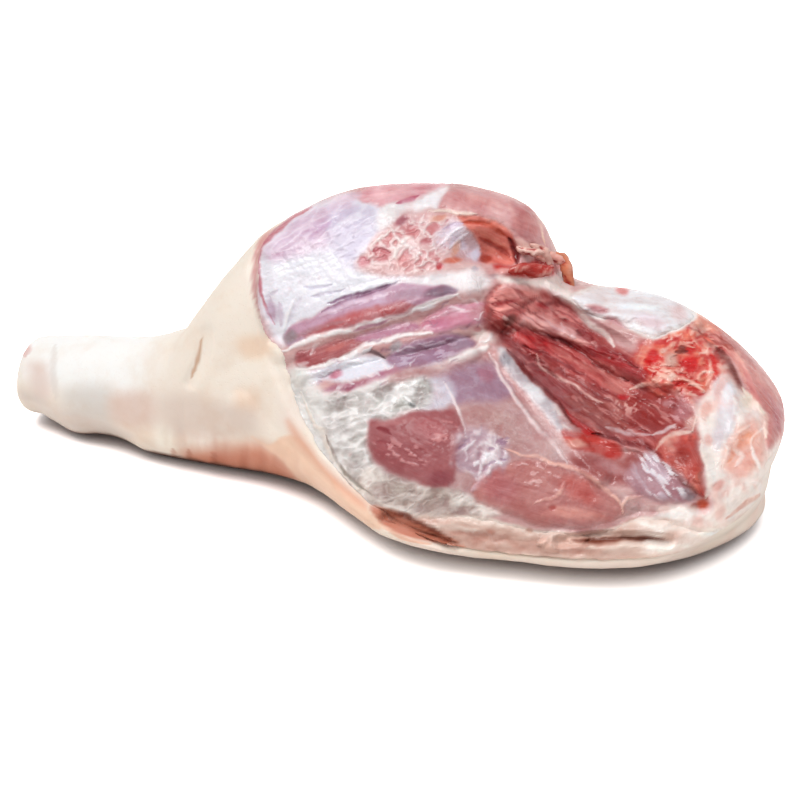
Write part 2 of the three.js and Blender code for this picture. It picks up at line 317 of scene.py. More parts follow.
# %% The butt's swellings
BUTT_PLACE = (190, 285)
TUCK, TUCK_HEIGHTS = 8.5, (66, 50, 26, 6)
RUMP_SWELL, RUMP_HEIGHTS = 3.5, (106, 90, 76, 62)
FOOT_SWELL, FOOT_HEIGHTS = 7.0, (24, 8, -30, -40)


def belt(height, limits):
    """1 in a belt of heights, fading out above it and below it."""
    top, full_top, full_foot, foot = limits
    return smooth(top, full_top, height) * smooth(foot, full_foot, height)


def swollen(points):
    """The butt moved along the leg by belts of height: the rump swells over a tuck, and a foot spreads
    below it."""
    x, y, z = np.moveaxis(points, -1, 0)
    swell = RUMP_SWELL * belt(z, RUMP_HEIGHTS) + FOOT_SWELL * belt(z, FOOT_HEIGHTS)
    swell = swell - TUCK * belt(z, TUCK_HEIGHTS)
    return np.stack([x + swell * smooth(*BUTT_PLACE, x), y, z], axis=-1)


# %% Normals, the side that the eye sees, and the surface below
SETTLING = 2.7


def outward(points):
    """Unit normals of a grid: the cross product of the steps along and around it."""
    normal = np.cross(np.gradient(points, axis=0), np.gradient(points, axis=1))
    return normal / np.maximum(np.linalg.norm(normal, axis=-1, keepdims=True), 1e-9)


def turned_to_eye(points, normals):
    """Cosine between the normal and the line to the eye, and that line's direction."""
    line = EYE - points
    line = line / np.linalg.norm(line, axis=-1, keepdims=True)
    return np.sum(normals * line, axis=-1), line


def settled(points):
    """What would sink into the surface below is laid flat on it, with a short parabola where it lifts
    off."""
    z = points[..., 2]
    bend = (z + SETTLING) ** 2 / (4 * SETTLING)
    flat = np.where(z > SETTLING, z, np.where(z < -SETTLING, 0, bend))
    return np.concatenate([points[..., :2], flat[..., None]], axis=-1)


# %% [markdown]
# The large relief repeats the solid's: swellings are soft ellipses on the plan, ridges and creases are
# lines with a round profile, and both move the surface along the line to the eye, so that nothing slides on
# the plan. A displacement image could hold the same heights, but named swellings say what each of them is.

# %% Large relief of the face
RELIEF_FADE = (0.02, 0.35)
RIDGE_SOFTNESS = 1.4
SWELLINGS = {
    "inside round": ((56, -36), (124, 60), 14, 15, 1),
    "outer dome": ((76, 126), (44, 27), 18, 6, 1),
    "dome cavity": ((63, 108), (30, 17), 10, -14, 1.5),
    "red valley": ((135, 22), (95, 35), 36, -25, 1.2),
    "spongy bone": ((204, 27), (30, 25), 20, 8, 1),
    "rump": ((253, -1), (26, 60), -22, 10, 1),
    "red tip": ((206, -45), (20, 32), -15, 7, 1.2),
    "silver tip": ((173, -59), (38, 21), 10, 7, 1),
    "cartilage": ((238, -11), (15, 34), 8, 5, 1.2),
}
RIDGES = {
    "upper band": ([(-84, 36), (-36, 54), (14, 71), (50, 81)], 12, 6),
    "middle band": ([(-72, 19), (-36, 34), (14, 45), (61, 59)], 10, 6),
    "lower band": ([(-61, 6), (-7, 19), (50, 35)], 10, 5),
    "silver strip": ([(66, 40), (94, 7), (122, -29), (144, -54)], 10, 5),
    "strip crease": ([(72, 50), (115, 4), (144, -32), (184, -50), (216, -76)], 8, -6),
    "upper rope": ([(76, 59), (115, 50), (158, 27), (187, 11)], 10, 7),
    "lower rope": ([(83, 40), (122, 22), (158, -4), (187, -29)], 11, 7),
    "back rim": ([(112, 82), (137, 72), (173, 63), (209, 50)], 11, 6),
    "rim crease": ([(115, 68), (144, 47), (180, 36)], 8, -5),
    "rump crease": ([(220, 50), (238, 29), (251, -1)], 8, -6),
    "left slit": ([(-10, -85), (14, -96), (40, -105)], 6, -6),
    "right slit": ([(115, -102), (153, -99), (193, -102)], 6, -6),
    "skin edge": ([(-102, 99), (-92, 47), (-73, -4), (-32, -65), (-9, -86)], 9, -4),
    "skin flap": ([(-115, -4), (-92, -35), (-65, -60), (-30, -84)], 12, 4),
    "shank crease": ([(-140, 48), (-143, 32), (-150, 13)], 7, -3),
}


def large_relief(across, down):
    """Sum of swellings rise*(1-ellipse)^softness and ridges rise*(1-(distance/half)^2)^softness, in mm."""
    x = (across - PLAN_CENTRE) * PLAN_SQUARE
    y = (PLAN_CENTRE - down) * PLAN_SQUARE
    total = np.zeros(x.shape)
    for (at_x, at_y), (reach_x, reach_y), turn, rise, softness in SWELLINGS.values():
        c, s = math.cos(math.radians(turn)), math.sin(math.radians(turn))
        long_way = (x - at_x) * c - (y - at_y) * s
        short_way = (x - at_x) * s + (y - at_y) * c
        far = (long_way / reach_x) ** 2 + (short_way / reach_y) ** 2
        total += rise * np.clip(1 - far, 0, 1) ** softness
    for points, half, rise in RIDGES.values():
        far, _ = distance_to(x, y, rounded(points, False))
        total += rise * np.clip(1 - (far / half) ** 2, 0, 1) ** RIDGE_SOFTNESS
    return total


# %% [markdown]
# The skin was cut along the edge of the face: down the dome's left side, along the flap below the shank and
# round the bottom of the rim. On the far side it ends just behind the crest. One field holds the distance
# in mm inside that edge, and every layer asks it how high to stand: the skin dives under the face and the
# meat dives under the skin.

# %% The face's edge
SKIN_EDGE = [(300, 205), (275, 228), (262, 244), (258, 262), (258, 300), (264, 330), (281, 350), (288, 372),
             (297, 405), (312, 435), (330, 462), (352, 486), (372, 506), (392, 520), (425, 536), (470, 548),
             (520, 555), (580, 559), (640, 557), (700, 549), (738, 532), (756, 508), (761, 484), (768, 462),
             (779, 446), (792, 436)]
FAR_SIDE = [(900, 430), (900, 100), (300, 100)]
EDGE_WAVE, EDGE_WAVE_SIZE = 1.6, 16
PAST_HORIZON, CREST_RADIUS = 0.10, 70.0
UNDER_ANGLE, UNDER_SLOPE = -16.0, 2.0
NO_LIMIT = 99.0


def face_field(across, down, turned, angle):
    """Distance in mm inside the face: to the skin's edge on the plan, to just past the horizon, and to the
    underside."""
    edge = rounded(SKIN_EDGE, False)
    loop = np.vstack([edge, FAR_SIDE, edge[:1]])
    far, _ = distance_to(across, down, edge)
    inside = np.where(inside_of(across, down, loop), far, -far) * PLAN_SQUARE
    behind = (turned + PAST_HORIZON) * CREST_RADIUS
    signed = (angle + 180) % 360 - 180
    under = np.where(signed < 90, (signed - UNDER_ANGLE) * UNDER_SLOPE, NO_LIMIT)
    field = np.minimum(np.minimum(inside, behind), under)
    return field + EDGE_WAVE * cloud(across / EDGE_WAVE_SIZE, down / EDGE_WAVE_SIZE, 5)


# %% [markdown]
# A grid of points becomes a mesh by joining neighbours into quads. The skin's grid closes on itself around
# the leg and ends in a pole at each end. A layer of the face is an open sheet, so a ruled strip joins its
# two long sides deep inside the leg and a fan closes each end, which makes it a closed body like the rest.


# %% Meshes from grids
SKY, BOUNCE, KEY = 0.52, 1.45, 0.86
SHEEN, DARKEST, PALEST = 0.025, 0.006, 0.92
TO_KEY = np.array((-0.24, -0.27, 0.93))


def quads_of(index):
    """Quads between neighbouring rows and columns of an index grid, turned outwards."""
    corners = (index[:-1, :-1], index[1:, :-1], index[1:, 1:], index[:-1, 1:])
    return np.stack(corners, axis=-1).reshape(-1, 4)


def add_piece(name, points, faces):
    """A smooth mesh object at the origin, riding on the leg's body in place of the plain solid."""
    mesh = bpy.data.meshes.new(name)
    mesh.from_pydata((points * MM).tolist(), [], faces)
    mesh.shade_smooth()
    piece = bpy.data.objects.new(name, mesh)
    bpy.context.scene.collection.objects.link(piece)
    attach(piece, "root")
    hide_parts("pork_leg")
    triangles = sum(len(face) - 2 for face in faces)
    print(name, len(points), "points", triangles, "triangles")
    return piece


def add_colour(piece, name, values, normals):
    """A colour for each point. Values are the sRGB colours to be seen, from 0 to 255. They are stored as
    the linear colour of the matter itself: what is seen, less the sheen on top, over the light that falls
    on it."""
    upwards = normals[:, 2:]
    light = SKY * (1 + upwards) / 2 + BOUNCE * (1 - upwards) / 2
    light = light + KEY * np.clip(normals @ TO_KEY, 0, 1)[:, None]
    share = np.clip(values / 255, 0, 1)
    linear = np.where(share <= 0.04045, share / 12.92, ((share + 0.055) / 1.055) ** 2.4)
    linear = np.maximum((linear - SHEEN) / light, DARKEST)
    linear = linear * np.minimum(1, PALEST / linear.max(axis=1, keepdims=True))
    rgba = np.concatenate([linear, np.ones(linear.shape[:1] + (1,))], axis=1)
    data = piece.data.attributes.new(name, "FLOAT_COLOR", "POINT").data
    data.foreach_set("color", rgba.astype(np.float32).ravel())


def add_vector(piece, name, values):
    """Three numbers for each point, read in the material by name."""
    data = piece.data.attributes.new(name, "FLOAT_VECTOR", "POINT").data
    data.foreach_set("vector", values.astype(np.float32).ravel())


# %% [markdown]
# The skin first: one thick, pale hide around the whole leg. A cylinder could be sculpted into it, but a
# grid can be worked out at once. Its rows run from the middle of the sawn hock, round the hock's edge,
# along the leg and round the butt to a pole, with as many angles in each, and the angles crowd where the
# face is.

# %% The skin's grid
CAP_ROWS, EDGE_ROWS, LEG_ROWS, BUTT_ROWS = 26, 8, 220, 62
SKIN_COLUMNS = 264
FACE_ANGLE, FACE_CROWDING = 65.0, 0.35

hock_edge = HOCK_EDGE_ROUNDING / HOCK_RADIUS
cap_share = np.arange(1, CAP_ROWS) / CAP_ROWS * (1 - hock_edge)
edge_turn = np.arange(EDGE_ROWS) / EDGE_ROWS * math.pi / 2
butt_turn = np.arange(BUTT_ROWS) / BUTT_ROWS * math.pi / 2
leg_x = np.linspace(HOCK_END + HOCK_EDGE_ROUNDING, BUTT_END - BUTT_ROUNDING, LEG_ROWS, endpoint=False)
skin_x = np.concatenate([
    np.full(CAP_ROWS - 1, HOCK_END),
    HOCK_END + HOCK_EDGE_ROUNDING * (1 - np.cos(edge_turn)),
    leg_x,
    BUTT_END - BUTT_ROUNDING + BUTT_ROUNDING * np.sin(butt_turn),
])
skin_share = np.concatenate([
    cap_share,
    1 - hock_edge * (1 - np.sin(edge_turn)),
    np.ones(LEG_ROWS),
    np.cos(butt_turn) ** (2 / BUTT_SQUARENESS),
])
even = FACE_ANGLE - 180 + 360 * np.arange(SKIN_COLUMNS) / SKIN_COLUMNS
skin_angle = even - np.degrees(FACE_CROWDING * np.sin(np.radians(even - FACE_ANGLE)))
skin_angle = np.broadcast_to(skin_angle, (len(skin_x), SKIN_COLUMNS))
skin_plain = plain_leg(skin_x, skin_share, skin_angle)
skin_turned, skin_to_eye = turned_to_eye(skin_plain, outward(skin_plain))
skin = swollen(skin_plain)
skin_normal = outward(skin)
skin_across, skin_down = on_plan(skin)
skin_field = face_field(skin_across, skin_down, skin_turned, skin_angle)
print("skin grid", skin.shape)

# %% [markdown]
# The skin is thick and slack. It lies in soft dents, folds into upright wrinkles where the shank turns
# under, and ends in a low lip that then dives out of sight under the meat. A sculpting brush could do this
# by hand, but noises and bell curves do it the same way on each run.

# %% The skin's form
LIP_RISE, LIP_PLACE, LIP_WIDTH = 1.6, -2.0, 7.0
LIP_TURNED, LIP_END = (-0.2, 0.1), (250, 215)
DIVE_DEPTH, DIVE_PLACE = 12.0, (-0.5, 5.0)
SLACK_RISE, SLACK_SIZE = 1.1, 34.0
ANKLE_FOLDS, ANKLE_FOLD_SIZE, ANKLE_PLACE = 0.7, (9, 55, 55), (-215, -180, -130, -95)
SHANK_BULGES = [(-272, -2.0, 9), (-236, 2.4, 14), (-206, -1.6, 12), (-176, 1.6, 9)]
BULGE_HEIGHT = (48, 18)
WRINKLE_RISE, WRINKLE_WIDTH, WRINKLE_LENGTH = 1.5, 9.0, 40.0
WRINKLED = [(150, 430), (190, 436), (250, 443), (300, 466), (262, 480), (190, 472)]
WRINKLE_FADE = (-12, 6)
LIFT_OFF, HOCK_FADE = (0, 14), 14

skin_x_mm, skin_height = skin[..., 0], skin[..., 2]
on_face_side = smooth(*RELIEF_FADE, skin_turned)
lip = LIP_RISE * np.exp(-(((skin_field - LIP_PLACE) / LIP_WIDTH) ** 2))
lip = lip * smooth(*LIP_TURNED, skin_turned) * smooth(*LIP_END, skin_x_mm)
dive = DIVE_DEPTH * smooth(*DIVE_PLACE, skin_field)
slack = SLACK_RISE * leg_cloud(skin, SLACK_SIZE, 31)
ankle = smooth(*ANKLE_PLACE[:2], skin_x_mm) * smooth(*ANKLE_PLACE[:1:-1], skin_x_mm)
slack = slack + ANKLE_FOLDS * ankle * leg_cloud(skin, ANKLE_FOLD_SIZE, 33, 2)
bulges = sum(rise * np.exp(-(((skin_x_mm - at) / reach) ** 2)) for at, rise, reach in SHANK_BULGES)
slack = slack + bulges * smooth(*BULGE_HEIGHT, skin_height)
wrinkle_zone = smooth(*WRINKLE_FADE, depth_in(skin_across, skin_down, WRINKLED, 14)) * on_face_side
wrinkle = cloud(skin_across / WRINKLE_WIDTH, skin_down / WRINKLE_LENGTH, 41, 2) * wrinkle_zone
hock_fade = smooth(HOCK_END, HOCK_END + HOCK_FADE, skin_x_mm)
skin_rise = (lip + slack * hock_fade + WRINKLE_RISE * wrinkle) * smooth(*LIFT_OFF, skin_height) - dive
skin_relief = large_relief(skin_across, skin_down) * on_face_side
skin_form = skin + skin_to_eye * skin_relief[..., None]
skin_form = settled(skin_form + skin_normal * skin_rise[..., None])

hock_pole = skin_form[0].mean(0)
butt_pole = swollen(plain_leg(np.array([BUTT_END]), np.zeros(1), np.zeros((1, 1))))[0, 0]
butt_pole = butt_pole - np.array((dive[-1].mean(), 0, 0))
rows, columns = skin.shape[:2]
ring = np.arange(rows * columns).reshape(rows, columns)
ring = np.concatenate([ring, ring[:, :1]], axis=1)
skin_faces = quads_of(ring).tolist()
skin_faces += [(rows * columns, b, a) for a, b in zip(ring[0, 1:].tolist(), ring[0, :-1].tolist())]
skin_faces += [(rows * columns + 1, b, a) for a, b in zip(ring[-1, :-1].tolist(), ring[-1, 1:].tolist())]
skin_points = np.vstack([skin_form.reshape(-1, 3), hock_pole, butt_pole])
rind = add_piece("rind", skin_points, skin_faces)

# %% [markdown]
# Skin colour: cream, peach on the flap, and orange on the flap's cut lip and where the skin turns under,
# with faint pink patches. Light and shade are painted in as well: a near white light on top of the shank,
# grey shade on its lower side, and more shade on the orange underside and along the bottom. The sawn hock
# has rings of skin, fat, meat and bone with marrow. A painted image would need an unwrapped mesh. A colour
# at each point needs none, and the grid is fine enough to carry it.

# %% The skin's colours
CREAM, DEEP_CREAM, PINK_CREAM = (249, 237, 224), (244, 228, 210), (248, 230, 221)
FAR_BLUSH, SHANK_TOP_LIGHT = (244, 214, 202), (255, 254, 252)
MOTTLE_SIZE, BLUSH_SIZE = 40, (75, 60, 45)
SHANK_TOP, SHANK_TOP_HEIGHT = (-140, -200), (34, 58)
SEEN_TURNED = (-0.1, 0.15)


def lay(ground, colour, cover):
    """A colour laid over a ground: the ground moves to the colour by its cover."""
    return ground + (np.array(colour, float) - ground) * cover[..., None]


seen = smooth(*SEEN_TURNED, skin_turned)
skin_tint = np.zeros(skin.shape) + np.array(CREAM)
mottle = leg_cloud(skin, MOTTLE_SIZE, 61)
blush = leg_cloud(skin, BLUSH_SIZE, 63)
on_shank_top = smooth(*SHANK_TOP, skin_x_mm) * smooth(*SHANK_TOP_HEIGHT, skin_height)
skin_tint = lay(skin_tint, DEEP_CREAM, 0.5 * smooth(-0.1, 0.5, mottle))
skin_tint = lay(skin_tint, PINK_CREAM, 0.5 * smooth(0.1, 0.5, -mottle))
skin_tint = lay(skin_tint, FAR_BLUSH, 0.7 * smooth(0.05, 0.5, blush) * (1 - seen))
# Painted light: the top of the shank is painted near white, where the light falls on it most.
skin_tint = lay(skin_tint, SHANK_TOP_LIGHT, 0.95 * on_shank_top)
print("skin", np.round(skin_tint.mean((0, 1))))

# %% Patches and lines on the skin
SKIN_LINE_FADE = (0.55, 1.45)
SHADED_SKIN, SHADE_HEIGHT = (112, 80, 70), (14, 3)
WRINKLE_SHADE = np.array((0.04, 0.08, 0.09))
LEFT_SLIT = [(372, 506), (388, 510), (411, 519), (434, 530), (458, 542), (434, 541), (404, 535), (387, 526),
             (376, 516)]


def area_mask(x, y, outline, soft):
    """1 inside a rounded outline and 0 outside, fading over soft squares either side."""
    return smooth(-soft, soft, depth_in(x, y, outline, soft + 2))


def line_mask(x, y, points, half):
    """1 along a rounded line, fading past its half width."""
    return 1 - smooth(*SKIN_LINE_FADE, along_line(x, y, points, half))


SKIN_AREAS = [
    # Painted shade: the first three patches are the shank's lower side, grey and pinkish, darker than its
    # top.
    ((228, 210, 198), 14, 0.8, [(160, 396), (200, 392), (252, 396), (256, 430), (210, 436), (165, 430)]),
    ((222, 216, 210), 12, 0.8, [(64, 392), (108, 388), (110, 424), (72, 426)]),
    ((230, 205, 193), 10, 0.8, [(112, 396), (150, 394), (152, 424), (114, 424)]),
    ((235, 214, 205), 8, 0.8, [(30, 366), (46, 366), (50, 396), (34, 400)]),
    # Painted shade along the shank's lower edge.
    ((226, 214, 206), 8, 0.7, [(20, 388), (60, 406), (130, 432), (120, 440), (60, 424), (22, 402)]),
    ((250, 239, 226), 12, 0.8, [(190, 340), (240, 290), (256, 320), (270, 380), (250, 400), (205, 396)]),
    ((243, 214, 190), 7, 0.8, [(240, 338), (266, 336), (272, 352), (252, 360), (240, 352)]),
    ((240, 212, 190), 8, 0.7, [(236, 390), (256, 390), (258, 406), (240, 408)]),
    # The underside where the skin turns under: orange skin, darkened further as painted shade under the
    # flap.
    ((214, 140, 114), 12, 0.95,
     [(186, 454), (236, 448), (262, 446), (290, 466), (312, 494), (290, 490), (240, 480), (196, 474)]),
    ((247, 210, 185), 2, 0.95,
     [(252, 436), (268, 445), (284, 436), (300, 438), (317, 459), (330, 473), (360, 500), (384, 528),
      (350, 522), (314, 498), (300, 482), (284, 463), (268, 449)]),
    ((240, 178, 152), 6, 0.75,
     [(288, 420), (302, 434), (319, 457), (332, 471), (351, 488), (368, 502), (366, 508), (348, 496),
      (326, 474), (306, 452), (292, 434)]),
    ((249, 230, 219), 9, 0.9,
     [(400, 540), (480, 556), (560, 562), (640, 560), (700, 550), (750, 530), (782, 480), (802, 480),
      (790, 540), (740, 572), (640, 592), (480, 584), (400, 566)]),
    ((247, 236, 229), 6, 0.9, [(750, 490), (764, 452), (795, 424), (808, 470), (796, 504), (756, 516)]),
    ((208, 134, 112), 2, 0.95, LEFT_SLIT),
]
for colour, soft, cover, outline in SKIN_AREAS:
    skin_tint = lay(skin_tint, colour, cover * area_mask(skin_across, skin_down, outline, soft) * seen)
SKIN_LINES = [
    ((206, 168, 142), 1.8, 0.8, [(202, 338), (198, 359), (191, 379)]),
    ((222, 210, 203), 3.6, 0.4, [(55, 344), (53, 370), (57, 400)]),
    ((206, 130, 132), 3.0, 0.6, [(262, 318), (256, 292), (256, 266), (260, 249), (272, 234), (284, 224)]),
    ((232, 190, 186), 5.0, 0.7, [(20, 340), (25, 347), (25, 356)]),
    ((150, 30, 46), 2.4, 0.95, [(18, 345), (21, 351), (20, 357)]),
    ((196, 190, 186), 2.0, 0.7, [(17, 356), (20, 361)]),
    ((250, 236, 226), 1.6, 0.9, [(340, 470), (347, 477), (354, 484)]),
    ((242, 192, 168), 2.0, 0.8, [(378, 521), (390, 530), (405, 538), (430, 543)]),
    # Painted shade: three dark ticks in the gaps between small upright folds.
    ((190, 130, 110), 3.0, 0.4, [(173, 448), (174, 455), (172, 462)]),
    ((186, 122, 102), 3.0, 0.4, [(188, 450), (189, 458), (187, 466)]),
    ((186, 118, 98), 3.0, 0.4, [(212, 452), (214, 460), (212, 470)]),
]
for colour, half, cover, points in SKIN_LINES:
    skin_tint = lay(skin_tint, colour, cover * line_mask(skin_across, skin_down, points, half) * seen)
# Painted shade: the skin's lowest strip turns dark brown where it meets the floor.
skin_tint = lay(skin_tint, SHADED_SKIN, 0.95 * smooth(*SHADE_HEIGHT, skin_height))
# Painted shade and light: the wrinkles darken in their grooves and lighten on their raised backs.
skin_tint = skin_tint * (1 + wrinkle[..., None] * WRINKLE_SHADE)
print(len(SKIN_AREAS), "patches and", len(SKIN_LINES), "lines on the skin")

# %% The sawn hock
MARROW = (176, 92, 78)
HOCK_RINGS = [(0.0, MARROW), (0.18, (190, 104, 88)), (0.26, (238, 220, 198)), (0.42, (236, 216, 196)),
              (0.48, (198, 124, 116)), (0.66, (184, 96, 92)), (0.78, (238, 214, 202)),
              (0.9, (246, 230, 216))]
HOCK_OFF_CENTRE, HOCK_OFF_TURN, HOCK_RAGGED = 0.09, 2.1, 0.12
RAGGED_ROUND, RAGGED_INWARDS, EVEN_MIDDLE = 1.3, 1.5, (0, 0.3)
SAW_SHADE, SAW_SIZE = 0.08, 3
on_cap = (skin_x <= HOCK_END)[:, None]
skin_turn = np.radians(skin_angle)
hock_share = skin_share[:, None]
round_x, round_y = RAGGED_ROUND * np.cos(skin_turn), RAGGED_ROUND * np.sin(skin_turn)
ragged = cloud(round_x, round_y, 65, 2, z=RAGGED_INWARDS * hock_share)
ragged = HOCK_OFF_CENTRE * np.cos(skin_turn - HOCK_OFF_TURN) + HOCK_RAGGED * ragged
ring_at = hock_share + ragged * smooth(*EVEN_MIDDLE, hock_share)
ring_places, ring_colours = zip(*HOCK_RINGS)
cap_rings = np.stack([np.interp(ring_at, ring_places, shade) for shade in zip(*ring_colours)], axis=-1)
saw_marks = cloud(skin[..., 1] / SAW_SIZE, skin[..., 2] / SAW_SIZE, 67)
cap_rings = cap_rings * (1 + SAW_SHADE * saw_marks[..., None])
skin_tint = np.where(on_cap[..., None], cap_rings, skin_tint)
pole_tints = np.vstack([MARROW, skin_tint[-1].mean(0)])
pole_normals = np.array(((-1.0, 0, 0), (1.0, 0, 0)))
rind_tints = np.vstack([skin_tint.reshape(-1, 3), pole_tints])
rind_normals = np.vstack([skin_normal.reshape(-1, 3), pole_normals])
add_colour(rind, "tint", rind_tints, rind_normals)
print("hock rings", len(HOCK_RINGS))

# %% [markdown]
# The face's grid is a sheet between two angles that follow the face along the leg. Even steps of the angle
# would crowd points where the leg turns away, so each row is first walked in small steps, and its points
# are then shared out evenly over that walk as the eye sees it.

# %% The face's grid
FACE_ROWS, FACE_END_ROWS, FACE_COLUMNS = 432, 125, 341
WALK_STEPS, HIDDEN_WEIGHT = 240, 0.25
FACE_START_X = -124.0
FACE_END_TURN = math.radians(89.2)
WARP, WARP_SIZE = 2.4, 13
FIRST_ANGLE = [(-124, 52), (-88, 36), (-62, 22), (-36, 2), (-12, -10), (6, -20), (288, -20)]
LAST_ANGLE = [(-124, 118), (-60, 124), (0, 128), (60, 132), (98, 140), (150, 136), (207, 130), (244, 144),
              (273, 164), (288, 190)]

end_turn = np.linspace(0, FACE_END_TURN, FACE_END_ROWS)
face_x = np.concatenate([
    np.linspace(FACE_START_X, BUTT_END - BUTT_ROUNDING, FACE_ROWS, endpoint=False),
    BUTT_END - BUTT_ROUNDING + BUTT_ROUNDING * np.sin(end_turn),
])
face_share = np.concatenate([np.ones(FACE_ROWS), np.cos(end_turn) ** (2 / BUTT_SQUARENESS)])
first_angle, last_angle = size_at(FIRST_ANGLE, face_x)[:, None], size_at(LAST_ANGLE, face_x)[:, None]
walk_angle = first_angle + (last_angle - first_angle) * np.linspace(0, 1, WALK_STEPS)[None, :]
walk = plain_leg(face_x, face_share, walk_angle)
walk_across, walk_down = on_plan(walk)
walk_step = np.hypot(np.diff(walk_across, axis=1), np.diff(walk_down, axis=1)) * PLAN_SQUARE
walk_step = walk_step + HIDDEN_WEIGHT * np.linalg.norm(np.diff(walk, axis=1), axis=-1)
walked = np.concatenate([np.zeros((len(face_x), 1)), np.cumsum(walk_step, axis=1)], axis=1)
walked = walked / walked[:, -1:]
shares = np.linspace(0, 1, FACE_COLUMNS)
face_angle = np.stack([np.interp(shares, run, angle) for run, angle in zip(walked, walk_angle)])
face_plain = plain_leg(face_x, face_share, face_angle)
face_turned, face_to_eye = turned_to_eye(face_plain, outward(face_plain))
face = swollen(face_plain)
face_normal = outward(face)
across, down = on_plan(face)
field = face_field(across, down, face_turned, face_angle)
turned = smooth(*RELIEF_FADE, face_turned)
warp_x = across + WARP * cloud(across / WARP_SIZE, down / WARP_SIZE, 3)
warp_y = down + WARP * cloud(across / WARP_SIZE, down / WARP_SIZE, 8)
print("face grid", face.shape, "squares", np.round([across.min(), across.max(), down.min(), down.max()]))

# %% [markdown]
# Painting the face works as on a tray of glazes: a layer holds a colour, a small rise and a few traits for
# every point, and each muscle is an area laid on top of what is there. An area can puff up from its edges,
# has fibres that run in a direction, can lie under a film of membrane, and can be patchy where the glaze is
# thin. Lines and soft oval spots add creases, strands, blood and shine, and among them are painted shade in
# creases, gaps, slits and holes and painted highlights on wet places. Texture painting could do as much,
# but strokes that are written down can be read, changed and repeated, and they move the surface too.


# %% Noise and masks on the face
CREST_BEND, CREST_BEND_SIZE, CREST_SHARPNESS = 0.7, 1.6, 3.4


def bearing(turn):
    """Plan squares along a bearing, in degrees up from the right, and across it."""
    c, s = math.cos(math.radians(turn)), math.sin(math.radians(turn))
    return warp_x * c - warp_y * s, warp_x * s + warp_y * c


def crests(along, aside, seed):
    """Sharp crests of a crumpled film, from 0 to 1: highest where a bent noise changes sign."""
    bend = CREST_BEND * cloud(along / CREST_BEND_SIZE, aside / CREST_BEND_SIZE, seed, 2)
    return np.clip(1 - CREST_SHARPNESS * np.abs(cloud(along + bend, aside - bend, seed + 40, 2)), 0, 1)


def within(outline, outer, inner):
    """1 inside an outline and 0 outside it, fading between two depths in squares."""
    return smooth(outer, inner, depth_in(warp_x, warp_y, outline, 2 - outer))


# %% A layer of the face
PLAIN_TRAITS = (0.2, 0.4, 0.5)
PATCH_SIZE, PATCH_EDGE = (12, 9), (-0.25, 0.3)
LINE_FADE, LINE_REACH, LINE_PROFILE = (0.3, 1.45), 1.5, 1.4
LINE_BREAKS, BREAK_LEVELS, BREAK_THINNING = 12, (0.0, 0.4), 0.4
SPOT_FADE, SPOT_REACH = (0.45, 1.35), 1.4
SHADE_LEVEL = 0.3
STRAND_SPREAD, STRAND_SWAY, STRAND_KNOTS = 22, 0.12, 4
STRAND_LENGTHS, STRAND_WIDTHS, STRAND_COVERS = (0.5, 1.3), (0.6, 1.5), (0.5, 1)
GLINT_FADE, GLINT_EDGE = (-5, 4), 0.16


